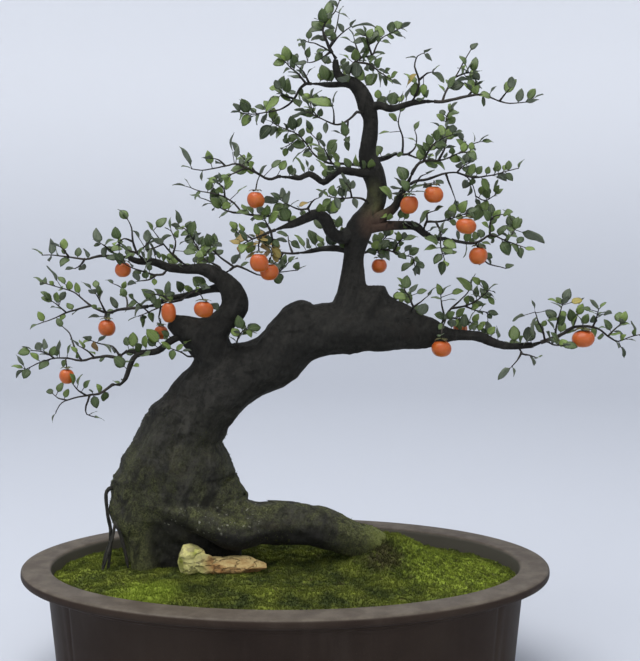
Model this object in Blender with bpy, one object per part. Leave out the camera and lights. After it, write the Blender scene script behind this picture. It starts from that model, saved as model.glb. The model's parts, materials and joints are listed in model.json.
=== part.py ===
"""Persimmon bonsai in an oval stoneware pot, modelled at its real size.

+Z is up, -Y faces the front and the origin is the middle of the pot's underside.
The grown wood is one solid. Each leafy spray is a solid of its own that goes on from a
short stub of the wood, and it carries the stalks and calyces of its fruits.
"""

import math
import random

import bmesh
import bpy
import numpy as np
from mathutils.bvhtree import BVHTree

MM = 0.001
GAP = 0.3                    # clearance between neighbouring solids, mm
WELD = 0.0004                # points closer than this count as one, mm
SEED = 27

# Pot, mm
POT_HALF_LENGTH = 345.0      # outside the rim, along X
POT_HALF_DEPTH = 225.0       # outside the rim, along Y
POT_HEIGHT = 160.0
RIM_WIDTH = 39.0
RIM_DROP = 13.0              # height of the rolled lip
RIM_OVERHANG = 31.0          # from the body's band out to the lip
BAND_HEIGHT = 15.0           # plain band between the rim and the panel line
BAND_PROUD = 2.5
BODY_TAPER = 14.0            # the body is this much narrower at its foot
WALL = 9.0
FLOOR = 12.0
DRAIN_RADIUS = 13.0
DRAIN_X = 125.0
CHANNEL_DEPTH = 4.0
CHANNEL_WIDTH = 34.0
FOOT_CHAMFER = 6.0
LIP_CHAMFER = 4.0
POT_SIDES = 32
DRAIN_SIDES = 14

# Soil, moss, rock and meshes, mm
MOSS_LEVEL = 150.0
MOSS_EDGE_DROP = 9.0
MOSS_THICKNESS = 9.0
MOSS_SLOPE = 0.012           # the moss falls this much towards the back
MOUND = dict(x=138.0, y=20.0, height=40.0, spread_x=42.0, spread_y=38.0)
FOOT_MOUND = dict(x=-150.0, y=45.0, height=7.0, spread_x=120.0, spread_y=80.0)
GROUND_RINGS = 3
SOCKET_GAP = 0.6
ROOT_SPACE = 1.5             # loose soil round the buried roots
ROCK_LUMPS = [                # name, seen x and z, depth, half sizes
    ("rock", -124, 161, -29, (17.0, 12.0, 20.0)),
    ("rock_slab", -76, 154, -29, (49.0, 13.0, 12.0)),
]
ROCK_BUMPS = (-0.13, 0.1)    # least and most that a point of the rock stands out
ROCK_BLUNTNESS = 0.7         # 1 is a ball, less is squarer
ROCK_FACE_SHARE = 0.7
MESH_SIZE = 46.0
MESH_THICKNESS = 1.2
MESH_HOLES = 2               # along each side
MESH_HOLE_SHARE = 0.72       # of the spacing

# Wood, mm
WOOD_SPACING = 27.0
LIMB_SPACING = 22.0
LUMPS = 0.05
WOOD_FACE_SHARE = 0.52

# Foliage, mm
LEAF_LENGTH = 18.0
LEAF_WIDTH_RATIO = 0.62
LEAF_THICKNESS = 1.2
LEAF_NECK_MAX = 15.0         # a leaf further than this from its twig is left out
LEAF_CLEAR = 0.6             # from every other node
LEAF_APART = 0.2             # from the spray's own leaves
STEM_SIDES = 4
TWIG_SIDES = 3
TWIG_TIP = 0.95              # radius
TWIG_MAX = 1.7               # radius
TWIG_CLEAR = 1.2
TWIG_SPACING = 21.0
BENDS = (0, 9, -9, 18, -18, 27, -27, 38, -38)    # tried in turn on a twig's end
STALK_RADII = (1.15, 1.4)    # of a fruit's stalk, at the twig and at the fruit
STUB_CLEAR = 2.5             # a stub stands this far out of the limb it grows on
STUB_GAP = 0.4
CALYX_THICKNESS = 1.4
CALYX_TURN = 0.4             # radians
SPRAY_FACE_SHARE = 0.6

# A branch is given as it is seen from the front on the middle plane y = 0. Taken to its own
# depth, a point moves along the line of sight from this viewing point, mm.
VIEW_X = 45.0
VIEW_Z = 614.0
VIEW_DISTANCE = 1500.0

# Grown wood: (x, z, depth y, radius, depth ratio of the cross-section), from its foot outwards
TRUNK = [
    (-150, 96, 48, 60, 0.7), (-148, 130, 46, 74, 0.65), (-144, 165, 42, 84, 0.62),
    (-140, 205, 38, 90, 0.62), (-140, 238, 32, 93, 0.66), (-146, 273, 26, 82, 0.75),
    (-141, 310, 22, 67, 0.88), (-128, 338, 18, 54, 0.95), (-112, 366, 14, 46, 1.0),
    (-87, 391, 12, 44, 1.0), (-52, 411, 10, 40, 1.0), (-15, 427, 8, 36, 1.0),
    (15, 457, 6, 37, 1.0), (50, 468, 4, 34, 1.0), (90, 469, 0, 31, 1.0), (130, 470, -4, 30, 1.0),
    (160, 466, -8, 25, 1.0), (188, 462, -12, 20, 1.0), (205, 460, -14, 12, 1.0),
    (220, 460, -16, 7.5, 1.0), (250, 458, -18, 6.5, 1.0), (264, 452, -19, 6, 1.0),
    (279, 447, -20, 5.5, 1.0), (293, 445, -21, 5, 1.0), (307, 446, -22, 4.6, 1.0),
    (321, 447, -23, 4.2, 1.0),
]
UPRIGHT = [
    (80, 462, 2, 33), (86, 500, 4, 24), (87, 530, 5, 17.5), (88, 560, 4, 13.5), (92, 582, 3, 15),
    (97, 600, 2, 17.5), (108, 616, 3, 14), (116, 632, 5, 12.5), (117, 650, 6, 12.5),
    (111, 670, 7, 14.3), (105, 690, 6, 12), (108, 714, 4, 10.6), (109, 735, 2, 10),
    (103, 752, 0, 10.5), (97, 768, -1, 9.5), (85, 781, -1, 8), (70, 787, 0, 6), (65, 800, 0, 5),
    (65, 810, 0, 4),
]
SIDE_TRUNK = [
    (-88, 408, 8, 30), (-92, 436, 2, 24), (-98, 458, 0, 25), (-80, 477, -2, 16),
    (-64, 497, -4, 17), (-68, 516, -5, 15), (-80, 531, -6, 11.5), (-98, 542, -8, 9.5),
    (-112, 545, -10, 7), (-129, 545, -13, 6.2), (-149, 547, -17, 5.6), (-168, 554, -20, 5),
    (-188, 555, -22, 4.4), (-202, 560, -24, 3.6),
]
LIMBS = {
    "trunk": (TRUNK, 12),
    "upright": (UPRIGHT, 10),
    "side_trunk": (SIDE_TRUNK, 9),
    "left_foot": ([(-182, 258, 26, 52), (-190, 225, 16, 42), (-189, 190, 10, 32), (-187, 158, 8, 28),
                   (-188, 120, 12, 22)], 9),
    "right_root": ([(-110, 232, 20, 40), (-62, 217, 8, 29), (-30, 212, 2, 28), (2, 212, 0, 27),
                    (42, 208, 4, 27), (82, 193, 10, 24), (118, 180, 16, 21), (148, 162, 22, 15),
                    (172, 140, 28, 10)], 9),
    "lip": ([(-176, 240, -4, 20), (-152, 232, -16, 17), (-124, 222, -22, 16), (-96, 208, -24, 18),
             (-66, 198, -20, 22), (-36, 204, -10, 20)], 8),
    "back_root_right": ([(-110, 210, 66, 40), (-80, 180, 96, 28), (-52, 160, 122, 20),
                         (-30, 140, 142, 12)], 8),
    "back_root_left": ([(-170, 220, 60, 38), (-190, 186, 76, 30), (-196, 164, 82, 26),
                        (-200, 146, 84, 22)], 8),
    "aerial_root": ([(-218, 262, 10, 5), (-234, 254, 2, 3.8), (-234, 228, -4, 3.2),
                     (-230, 202, -6, 3.4), (-231, 176, -8, 3.2), (-234, 150, -12, 3),
                     (-235, 128, -12, 2.8)], 6),
    "aerial_root_fork": ([(-230, 190, -7, 3.2), (-238, 166, -12, 2.8), (-244, 130, -16, 2.6)], 5),
    "crown_knob": ([(2, 452, 6, 28), (10, 470, 2, 25), (22, 477, 0, 27), (40, 477, 0, 22)], 9),
    "old_stub": ([(100, 476, 0, 30), (110, 498, -4, 25), (116, 512, -6, 17), (117, 523, -6, 11)], 8),
    "old_stub_shoulder": ([(124, 478, -4, 28), (146, 478, -8, 24), (170, 470, -10, 19)], 8),
    "head_stub": ([(-104, 455, 0, 26), (-124, 466, -6, 19), (-138, 473, -10, 14),
                   (-148, 479, -12, 9)], 8),
    "crotch_knob": ([(-100, 398, 12, 30), (-98, 416, 8, 22), (-94, 432, 4, 18)], 8),
    "spur": ([(-82, 530, -6, 6), (-84, 547, -6, 2.5)], 5),
    "left_tier_2": ([(-72, 522, -2, 8), (-92, 520, 6, 5), (-116, 514, 14, 4.4), (-130, 510, 18, 4),
                     (-149, 507, 23, 3.9), (-169, 498, 28, 3.4)], 6),
    "left_tier_3": ([(-112, 452, -4, 7), (-134, 457, -14, 4.8), (-151, 450, -19, 4.6),
                     (-165, 439, -22, 4.8), (-185, 437, -26, 4), (-204, 439, -30, 3.2)], 6),
    "left_tier_4": ([(-178, 438, -25, 3.8), (-193, 433, -30, 3.6), (-201, 420, -34, 3.4),
                     (-207, 403, -38, 3.2), (-214, 395, -41, 3)], 6),
    "middle_front": ([(90, 592, 2, 11), (72, 586, -8, 9), (60, 592, -16, 8), (52, 608, -24, 7.5),
                      (40, 615, -32, 6.5), (28, 610, -40, 5.4), (12, 603, -48, 4.4),
                      (-4, 598, -54, 3.4)], 7),
    "middle_back": ([(90, 568, 8, 8), (70, 571, 20, 5), (50, 571, 32, 4), (24, 566, 46, 3.2)], 6),
    "high_left": ([(112, 668, 2, 8), (100, 667, -6, 5.6), (85, 669, -12, 5), (70, 670, -18, 4.7),
                   (60, 663, -22, 4.5), (50, 655, -26, 4.2), (41, 661, -29, 3.8), (31, 666, -32, 3.5),
                   (20, 661, -36, 3.2), (2, 662, -42, 3)], 6),
    "top_left": ([(92, 776, -2, 7), (78, 779, 4, 4.2), (61, 778, 10, 3.6), (41, 779, 18, 3)], 6),
    "right_tier_2": ([(106, 748, 0, 8), (120, 752, -6, 5), (135, 748, -11, 4.6),
                      (150, 752, -16, 4.3), (167, 756, -21, 3.8), (181, 757, -25, 3.4)], 6),
    "right_tier_3": ([(108, 684, 8, 9), (119, 684, 18, 4.2), (130, 687, 28, 3.7),
                      (141, 691, 36, 3.2)], 6),
    "right_fan": ([(106, 606, 0, 12), (124, 612, -6, 8.4), (140, 624, -12, 6), (149, 642, -18, 4.4),
                   (158, 657, -22, 4)], 6),
    "right_tier_5": ([(100, 600, 2, 13), (122, 600, -4, 8), (144, 601, -12, 6.6), (166, 600, -20, 5.8),
                      (178, 591, -25, 5.2), (190, 584, -30, 4.6), (204, 584, -34, 4)], 6),
}
ROOTS_BELOW = {
    "buried_root_right": ([(-128, 128, 40, 34), (-60, 98, 30, 19), (40, 70, 4, 8)], 5),
    "buried_root_back": ([(-140, 124, 60, 34), (-110, 98, 90, 19), (-66, 76, 110, 9)], 5),
    "buried_root_left": ([(-170, 124, 44, 30), (-206, 98, 40, 17), (-240, 76, 30, 9)], 5),
}

# Fruits: (x, z, depth y, width, height) and the spray that each one hangs on
FRUITS = {
    "fruit_01": (-37, 633, -66, 21, 21, "spray_high_left"),
    "fruit_02": (-33, 553, -76, 23, 23, "spray_middle_front"),
    "fruit_03": (-20, 541, -50, 23, 21, "spray_middle_front"),
    "fruit_04": (-208, 544, -42, 20, 19, "spray_left_1_low"),
    "fruit_05": (-150, 489, -36, 19, 26, "spray_left_2_inner"),
    "fruit_06": (-105, 493, -44, 24, 21, "spray_left_2_inner"),
    "fruit_07": (-160, 463, 2, 18, 18, "spray_left_2_inner"),
    "fruit_08": (-230, 469, 18, 23, 22, "spray_left_2"),
    "fruit_09": (-283, 406, -66, 19, 19, "spray_left_3"),
    "fruit_10": (159, 627, -44, 23, 23, "spray_right_fan_low"),
    "fruit_11": (190, 640, -54, 24, 21, "spray_right_fan_low"),
    "fruit_12": (232, 600, -62, 25, 20, "spray_right_5_inner"),
    "fruit_13": (248, 562, -52, 23, 22, "spray_right_5"),
    "fruit_14": (121, 549, 20, 20, 19, "spray_right_inner"),
    "fruit_15": (226, 468, 14, 19, 20, "spray_right_branch_mid"),
    "fruit_16": (202, 442, -48, 25, 21, "spray_right_branch_mid"),
    "fruit_17": (385, 455, -46, 29, 22, "spray_right_end"),
}

# Sprays: a stem that starts on the wood, its first radius, twigs that start on the stem, all as
# (x, z, depth y), and single leaves seen at (x, z) with their length. More leaves follow a rule.
SPRAYS = {
    "spray_left_1": dict(
        radius=2.6,
        stem=[(-202, 560, -24), (-216, 561, -28), (-238, 562, -34), (-256, 558, -38),
              (-277, 560, -44), (-293, 562, -48), (-312, 563, -52)],
        twigs=[[(-214, 561, -28), (-227, 571, -20), (-238, 578, -12)],
               [(-256, 558, -38), (-262, 549, -26), (-270, 545, -16)],
               [(-277, 560, -44), (-284, 570, -56), (-290, 574, -66)]],
        leaves=[(-299, 574, 20), (-283, 577, 15), (-265, 567, 13), (-254, 566, 14), (-240, 588, 19),
                (-317, 568, 15), (-226, 580, 15), (-216, 571, 15), (-232, 567, 14)]),
    "spray_left_1_up": dict(
        radius=2.3,
        stem=[(-180, 555, -21), (-190, 566, -26), (-195, 580, -32), (-196, 597, -38),
              (-202, 611, -42)],
        twigs=[[(-190, 566, -26), (-203, 570, -18), (-214, 576, -8)],
               [(-190, 566, -26), (-180, 574, -42), (-170, 584, -54)],
               [(-195, 580, -32), (-206, 584, -48), (-214, 580, -60)]],
        leaves=[(-205, 572, 17), (-186, 566, 17), (-176, 588, 16), (-168, 580, 15), (-200, 563, 16),
                (-212, 558, 16), (-190, 590, 15), (-180, 560, 15)]),
    "spray_left_1_inner": dict(
        radius=2.2,
        stem=[(-120, 546, -12), (-132, 553, -20), (-144, 564, -30), (-156, 577, -40), (-169, 595, -50)],
        twigs=[[(-144, 564, -30), (-140, 580, -26), (-146, 596, -22)],
               [(-156, 577, -40), (-168, 572, -50), (-178, 570, -60)]],
        leaves=[(-158, 605, 17), (-147, 604, 15), (-166, 582, 15), (-122, 567, 17), (-172, 566, 15),
                (-152, 586, 14)]),
    "spray_left_1_low": dict(
        radius=2.1,
        stem=[(-149, 546, -17), (-157, 538, -24), (-168, 538, -30), (-182, 542, -36), (-200, 548, -42),
              (-212, 556, -46)],
        twigs=[[(-168, 538, -30), (-178, 531, -44), (-190, 529, -54)]],
        leaves=[(-222, 560, 15), (-190, 532, 15), (-197, 527, 14), (-176, 550, 14)]),
    "spray_neck_left": dict(
        radius=2.0,
        stem=[(-74, 524, -8), (-84, 547, 14), (-96, 553, 20), (-106, 560, 26), (-113, 578, 34)],
        twigs=[[(-106, 560, 26), (-117, 582, 44), (-127, 595, 52), (-136, 600, 58)],
               [(-96, 553, 20), (-90, 566, 30), (-92, 577, 38)]],
        leaves=[(-91, 580, 17), (-113, 588, 15), (-140, 601, 14), (-126, 590, 14), (-104, 572, 15)]),
    "spray_neck_right": dict(
        radius=2.1,
        stem=[(-72, 520, -5), (-75, 541, 4), (-61, 549, 6), (-49, 544, 8), (-31, 537, 12),
              (-5, 541, 16), (17, 543, 20)],
        twigs=[[(-61, 549, 6), (-80, 561, 0), (-94, 571, -4), (-104, 561, -6)],
               [(-5, 541, 16), (2, 549, 24), (8, 556, 32)]],
        leaves=[(-64, 558, 15), (-96, 566, 15), (22, 547, 12), (8, 558, 12), (-52, 552, 13)]),
    "spray_left_2": dict(
        radius=2.8,
        stem=[(-169, 498, 28), (-189, 495, 34), (-211, 493, 40), (-231, 489, 46), (-250, 498, 52),
              (-262, 508, 58), (-272, 515, 62), (-290, 521, 70), (-312, 528, 78)],
        twigs=[[(-250, 498, 52), (-266, 494, 44), (-282, 489, 36), (-300, 481, 28), (-318, 474, 22)],
               [(-204, 494, 38), (-204, 505, 50), (-210, 520, 62), (-222, 527, 72)],
               [(-231, 489, 46), (-238, 504, 36), (-244, 514, 26)],
               [(-282, 489, 36), (-292, 498, 26), (-302, 505, 18)],
               [(-231, 489, 46), (-232, 481, 32), (-230, 480, 20)]],
        leaves=[(-299, 540, 24), (-287, 531, 15), (-321, 526, 17), (-240, 516, 17), (-255, 525, 16),
                (-243, 526, 14), (-221, 503, 16), (-246, 484, 17), (-286, 511, 14), (-307, 507, 16),
                (-292, 507, 14), (-315, 484, 15), (-267, 521, 15), (-228, 533, 15), (-208, 515, 14)]),
    "spray_left_2_inner": dict(
        radius=2.2,
        stem=[(-126, 511, 17), (-134, 505, 6), (-146, 502, -4), (-160, 496, -12), (-176, 489, -18),
              (-190, 484, -22)],
        twigs=[[(-146, 502, -4), (-158, 510, -14), (-172, 513, -24)],
               [(-134, 505, 6), (-121, 514, -18), (-107, 521, -40)],
               [(-160, 496, -12), (-162, 484, -2), (-161, 475, 3)],
               [(-176, 489, -18), (-186, 498, -28), (-194, 506, -36)]],
        leaves=[(-190, 492, 16), (-180, 503, 16), (-165, 497, 15), (-172, 483, 15), (-195, 482, 15),
                (-160, 514, 15), (-184, 476, 13), (-92, 497, 21), (-170, 506, 15), (-196, 500, 15),
                (-150, 512, 14)]),
    "spray_left_3": dict(
        radius=2.6,
        stem=[(-204, 439, -30), (-218, 430, -35), (-230, 432, -40), (-246, 430, -45),
              (-264, 427, -50), (-282, 430, -55), (-299, 429, -60), (-317, 424, -64),
              (-338, 415, -68)],
        twigs=[[(-211, 434, -33), (-222, 446, -26), (-238, 449, -20), (-252, 453, -14)],
               [(-264, 427, -50), (-272, 442, -42), (-279, 462, -34), (-288, 471, -28)],
               [(-299, 429, -60), (-312, 438, -68), (-328, 440, -74)],
               [(-246, 430, -45), (-256, 440, -58), (-268, 446, -68)]],
        leaves=[(-343, 427, 17), (-347, 419, 14), (-311, 438, 15), (-311, 448, 14), (-292, 446, 15),
                (-280, 441, 15), (-262, 446, 15), (-246, 446, 15), (-230, 444, 15), (-252, 438, 14),
                (-236, 456, 14), (-272, 451, 14), (-222, 441, 14), (-301, 438, 14)]),
    "spray_left_4": dict(
        radius=2.4,
        stem=[(-214, 395, -41), (-224, 395, -45), (-233, 388, -49), (-242, 383, -53), (-258, 381, -58),
              (-274, 378, -62), (-290, 372, -66), (-298, 359, -69)],
        twigs=[[(-284, 375, -64), (-296, 378, -58), (-303, 385, -52)],
               [(-258, 381, -58), (-268, 388, -68), (-275, 396, -76)],
               [(-254, 381, -57), (-259, 366, -50), (-258, 356, -46), (-246, 352, -42)]],
        leaves=[(-292, 392, 14), (-267, 402, 15), (-252, 409, 15), (-247, 372, 16), (-244, 352, 15),
                (-241, 389, 13), (-306, 386, 12), (-302, 352, 13), (-258, 396, 13), (-284, 384, 12)]),
    "spray_head": dict(
        radius=1.6,
        stem=[(-112, 432, 0), (-126, 432, -24), (-136, 438, -34), (-148, 442, -42)],
        twigs=[],
        leaves=[(-136, 444, 12), (-146, 434, 13), (-127, 440, 11)]),
    "spray_crotch": dict(
        radius=1.5,
        stem=[(-66, 425, 8), (-62, 452, -24), (-57, 462, -30), (-48, 470, -34)],
        twigs=[],
        leaves=[(-63, 464, 12), (-46, 462, 12), (-54, 470, 12)]),
    "spray_middle_front": dict(
        radius=2.6,
        stem=[(-4, 598, -54), (-18, 593, -58), (-30, 588, -62), (-42, 583, -66), (-56, 576, -70)],
        twigs=[[(-18, 593, -58), (-24, 604, -66), (-28, 615, -72)],
               [(-30, 588, -62), (-34, 576, -72), (-34, 568, -78)],
               [(-18, 593, -58), (-16, 578, -54), (-19, 558, -50)],
               [(-42, 583, -66), (-52, 590, -56), (-62, 592, -48)]],
        leaves=[(-25, 613, 17), (-52, 577, 20), (-58, 567, 17), (-40, 574, 20), (-46, 562, 16),
                (-14, 571, 18), (-4, 582, 15), (-64, 580, 15), (-26, 578, 17), (-36, 596, 15)]),
    "spray_middle_front_up": dict(
        radius=2.0,
        stem=[(34, 613, -36), (30, 622, -44), (18, 621, -52), (4, 627, -58), (-6, 634, -62)],
        twigs=[[(30, 622, -44), (36, 632, -36), (44, 636, -28)]],
        leaves=[(-18, 633, 27), (12, 630, 13), (36, 583, 24), (48, 642, 14), (24, 628, 13)]),
    "spray_middle_back": dict(
        radius=2.2,
        stem=[(24, 566, 46), (10, 565, 56), (-2, 566, 64), (-14, 570, 72), (-28, 578, 80)],
        twigs=[[(10, 565, 56), (6, 576, 70), (4, 588, 84)],
               [(-2, 566, 64), (-8, 556, 78), (-16, 550, 90)]],
        leaves=[(14, 576, 16), (-2, 590, 16), (-10, 560, 15), (-24, 586, 16), (-36, 590, 15)]),
    "spray_upright_front": dict(
        radius=1.9,
        stem=[(112, 626, 4), (100, 634, -20), (86, 636, -30), (70, 635, -38), (54, 638, -46)],
        twigs=[[(86, 636, -30), (84, 646, -40), (78, 654, -48)]],
        leaves=[(52, 640, 18), (66, 632, 16), (79, 643, 15), (90, 629, 14), (72, 651, 13),
                (60, 646, 13)]),
    "spray_high_left": dict(
        radius=2.4,
        stem=[(2, 662, -42), (-8, 663, -46), (-16, 660, -50), (-25, 661, -54), (-37, 668, -58),
              (-50, 674, -63), (-62, 679, -68), (-75, 676, -73), (-90, 673, -78), (-106, 671, -84),
              (-119, 673, -88)],
        twigs=[[(-37, 668, -58), (-48, 682, -52), (-60, 694, -46)],
               [(-75, 676, -73), (-84, 684, -84), (-94, 686, -92)],
               [(-50, 674, -63), (-62, 668, -76), (-72, 664, -86)]],
        leaves=[(-126, 689, 26), (-96, 687, 17), (-84, 681, 15), (-60, 694, 15), (-68, 705, 24),
                (-47, 685, 14), (-11, 679, 15), (-2, 677, 14), (-28, 672, 14), (-106, 664, 13),
                (-74, 662, 15)]),
    "spray_high_left_up": dict(
        radius=2.3,
        stem=[(112, 676, 6), (94, 677, 22), (78, 679, 30), (60, 679, 36), (45, 685, 42), (36, 692, 46),
              (26, 706, 50), (14, 717, 54), (-3, 724, 58), (-16, 731, 62)],
        twigs=[[(45, 685, 42), (44, 698, 54), (42, 708, 64), (33, 717, 74)],
               [(14, 717, 54), (10, 706, 66), (0, 700, 76)],
               [(60, 679, 36), (54, 690, 24), (50, 700, 14)]],
        leaves=[(15, 688, 17), (61, 688, 15), (-25, 719, 24), (6, 729, 15), (18, 731, 15),
                (31, 728, 14), (44, 714, 14), (2, 712, 14), (-12, 737, 14), (28, 694, 14)]),
    "spray_far_left": dict(
        radius=2.1,
        stem=[(12, 603, -48), (-8, 612, -42), (-34, 613, -36), (-53, 617, -30), (-64, 628, -24),
              (-76, 636, -18), (-92, 641, -12), (-106, 644, -6), (-120, 649, 0)],
        twigs=[[(-53, 617, -30), (-66, 617, -18), (-80, 622, -6), (-94, 631, 4), (-108, 636, 12)],
               [(-76, 636, -18), (-78, 648, -28), (-86, 656, -38)]],
        leaves=[(-134, 652, 18), (-96, 652, 15), (-84, 646, 14), (-55, 647, 15), (-68, 626, 15),
                (-112, 640, 13), (-88, 660, 13), (-100, 628, 13)]),
    "spray_top_left": dict(
        radius=2.4,
        stem=[(41, 779, 18), (28, 779, 24), (19, 772, 30), (12, 760, 36), (2, 751, 42),
              (-10, 746, 48), (-24, 743, 54), (-41, 741, 60), (-56, 743, 66)],
        twigs=[[(28, 779, 24), (18, 791, 16), (8, 799, 8), (2, 806, 2)],
               [(34, 779, 22), (26, 793, 32), (15, 803, 42)],
               [(12, 760, 36), (0, 765, 26), (-7, 773, 18)]],
        leaves=[(-16, 754, 27), (-50, 755, 18), (-43, 737, 14), (-31, 750, 14), (-9, 778, 15),
                (-7, 813, 14), (4, 816, 14), (14, 811, 14), (-62, 744, 13), (22, 768, 13)]),
    "spray_top_left_low": dict(
        radius=2.2,
        stem=[(108, 742, 1), (92, 744, -14), (80, 733, -22), (68, 728, -28), (56, 731, -34),
              (42, 738, -40), (30, 744, -46)],
        twigs=[[(62, 729, -31), (63, 742, -40), (60, 752, -48)],
               [(80, 733, -22), (80, 722, -32), (78, 712, -40)],
               [(42, 738, -40), (34, 750, -32), (34, 762, -26)]],
        leaves=[(48, 756, 34), (78, 714, 20), (80, 702, 14), (33, 748, 14), (34, 766, 15),
                (63, 763, 15), (20, 747, 14), (52, 724, 14), (66, 719, 13)]),
    "spray_apex": dict(
        radius=2.6,
        stem=[(65, 810, 0), (60, 818, -2), (54, 830, -5), (49, 846, -8), (54, 858, -8), (63, 868, -8),
              (70, 882, -8)],
        twigs=[[(57, 824, -3), (62, 836, 6), (66, 850, 14), (69, 866, 20)],
               [(60, 818, -2), (50, 822, -16), (40, 828, -26), (26, 832, -34)],
               [(65, 812, 0), (52, 806, 12), (38, 804, 24), (28, 806, 34)],
               [(57, 824, -3), (68, 838, -14), (84, 850, -22)]],
        leaves=[(76, 864, 15), (62, 879, 14), (18, 845, 19), (38, 846, 16), (24, 828, 18),
                (30, 818, 14), (43, 813, 14), (100, 852, 30), (72, 847, 14), (40, 836, 14),
                (58, 850, 13), (44, 858, 14)]),
    "spray_apex_right": dict(
        radius=2.4,
        stem=[(80, 783, -1), (84, 800, 10), (97, 811, 18), (110, 814, 24), (116, 826, 30),
              (126, 838, 36), (148, 848, 44)],
        twigs=[[(97, 811, 18), (92, 824, 28), (88, 836, 36)],
               [(90, 806, 14), (104, 804, 2), (118, 795, -8), (134, 784, -16)],
               [(110, 814, 24), (106, 828, 14), (102, 840, 6)]],
        leaves=[(142, 781, 14), (127, 784, 15), (84, 822, 17), (94, 832, 17), (104, 822, 16),
                (78, 835, 16), (112, 836, 16), (96, 843, 15), (126, 795, 15), (140, 842, 14),
                (120, 818, 14), (76, 814, 14), (110, 800, 13)]),
    "spray_right_2": dict(
        radius=2.7,
        stem=[(181, 757, -25), (200, 757, -30), (218, 761, -35), (233, 764, -40), (247, 766, -44),
              (260, 763, -48), (272, 758, -52), (285, 755, -56), (307, 756, -62)],
        twigs=[[(200, 757, -30), (205, 771, -20), (216, 787, -10), (226, 806, 0), (236, 822, 8)],
               [(216, 787, -10), (229, 792, -20), (240, 792, -30)],
               [(272, 758, -52), (280, 768, -60), (286, 774, -68)],
               [(233, 764, -40), (240, 774, -30), (242, 784, -20)]],
        leaves=[(286, 777, 22), (298, 765, 17), (313, 767, 16), (322, 764, 14), (263, 771, 15),
                (233, 776, 15), (211, 781, 19), (226, 797, 15), (226, 809, 14), (240, 826, 18),
                (241, 790, 14), (247, 780, 13), (252, 757, 13)]),
    "spray_right_2_up": dict(
        radius=2.1,
        stem=[(160, 754, -19), (168, 768, -26), (170, 784, -32), (165, 800, -38), (168, 813, -42),
              (177, 818, -46)],
        twigs=[[(170, 784, -32), (180, 792, -44), (188, 794, -52)]],
        leaves=[(160, 785, 21), (190, 792, 20), (176, 772, 14), (160, 812, 13), (182, 812, 13)]),
    "spray_right_3": dict(
        radius=2.1,
        stem=[(141, 691, 36), (156, 691, 44), (166, 699, 52), (168, 712, 58), (165, 722, 64)],
        twigs=[[(156, 691, 44), (170, 686, 56), (184, 688, 68)],
               [(141, 692, 37), (144, 712, 46), (141, 730, 54), (147, 746, 62)]],
        leaves=[(168, 728, 15), (160, 711, 15), (176, 694, 15), (127, 718, 17), (150, 750, 14),
                (190, 682, 14), (138, 738, 14)]),
    "spray_right_fan": dict(
        radius=2.6,
        stem=[(158, 657, -22), (164, 670, -24), (172, 680, -26), (184, 683, -28), (196, 683, -30),
              (208, 686, -32), (222, 692, -34), (236, 694, -36)],
        twigs=[[(176, 682, -27), (184, 697, -36), (192, 706, -44), (203, 712, -50), (214, 716, -56)],
               [(196, 683, -30), (204, 700, -18), (206, 720, -8), (204, 736, 0), (209, 745, 6)],
               [(222, 692, -34), (234, 702, -26), (248, 707, -20)]],
        leaves=[(200, 712, 16), (193, 728, 16), (222, 716, 18), (224, 705, 15), (237, 732, 17),
                (211, 700, 14), (228, 700, 14), (241, 708, 14), (258, 707, 15), (238, 690, 15),
                (206, 728, 14), (180, 700, 14), (214, 752, 13)]),
    "spray_right_fan_low": dict(
        radius=2.2,
        stem=[(146, 636, -16), (154, 645, -32), (164, 651, -42), (178, 653, -50), (192, 656, -56)],
        twigs=[[(154, 645, -32), (158, 643, -42), (159, 642, -46)],
               [(164, 651, -42), (172, 662, -52), (182, 666, -60)]],
        leaves=[(154, 652, 17), (168, 650, 17), (182, 652, 17), (198, 656, 16), (142, 648, 15),
                (174, 644, 14)]),
    "spray_right_4": dict(
        radius=2.4,
        stem=[(154, 650, -20), (168, 657, -8), (182, 659, -2), (193, 663, 4), (205, 667, 10),
              (220, 668, 16), (234, 660, 22), (241, 648, 28), (244, 634, 34)],
        twigs=[[(220, 668, 16), (240, 662, 10), (260, 664, 4), (277, 668, 0), (298, 673, -4)],
               [(220, 668, 16), (228, 676, 28), (236, 680, 40)],
               [(243, 638, 32), (256, 632, 24), (270, 640, 14)],
               [(205, 667, 10), (212, 650, 20), (218, 632, 28)]],
        leaves=[(237, 653, 20), (271, 676, 15), (285, 677, 14), (269, 652, 15), (248, 618, 25),
                (264, 622, 15), (284, 612, 14), (224, 624, 14), (211, 616, 14), (300, 678, 14),
                (240, 684, 14), (274, 644, 13), (258, 645, 14)]),
    "spray_right_5": dict(
        radius=2.7,
        stem=[(204, 584, -34), (218, 581, -38), (232, 578, -42), (244, 579, -46), (255, 584, -50),
              (264, 589, -53), (281, 582, -58), (296, 577, -62), (308, 572, -66)],
        twigs=[[(262, 588, -53), (262, 601, -62), (266, 611, -70), (279, 615, -78)],
               [(244, 579, -46), (252, 568, -34), (258, 554, -24), (270, 549, -16), (284, 546, -8)],
               [(281, 582, -58), (292, 590, -48), (296, 600, -40)]],
        leaves=[(264, 621, 15), (284, 616, 15), (280, 589, 14), (295, 599, 17), (319, 587, 30),
                (232, 567, 15), (288, 546, 13), (222, 588, 13), (262, 556, 13), (302, 566, 14)]),
    "spray_right_5_inner": dict(
        radius=2.1,
        stem=[(176, 592, -24), (181, 605, -36), (192, 606, -44), (206, 607, -50), (220, 612, -56),
              (232, 616, -60)],
        twigs=[[(181, 605, -36), (182, 616, -46), (192, 620, -56)],
               [(192, 606, -44), (198, 592, -52), (200, 572, -60), (205, 556, -66)]],
        leaves=[(187, 572, 17), (174, 580, 16), (200, 596, 15), (202, 546, 19), (196, 622, 13),
                (240, 620, 14), (214, 614, 13), (210, 566, 13)]),
    "spray_right_inner": dict(
        radius=2.1,
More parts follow.
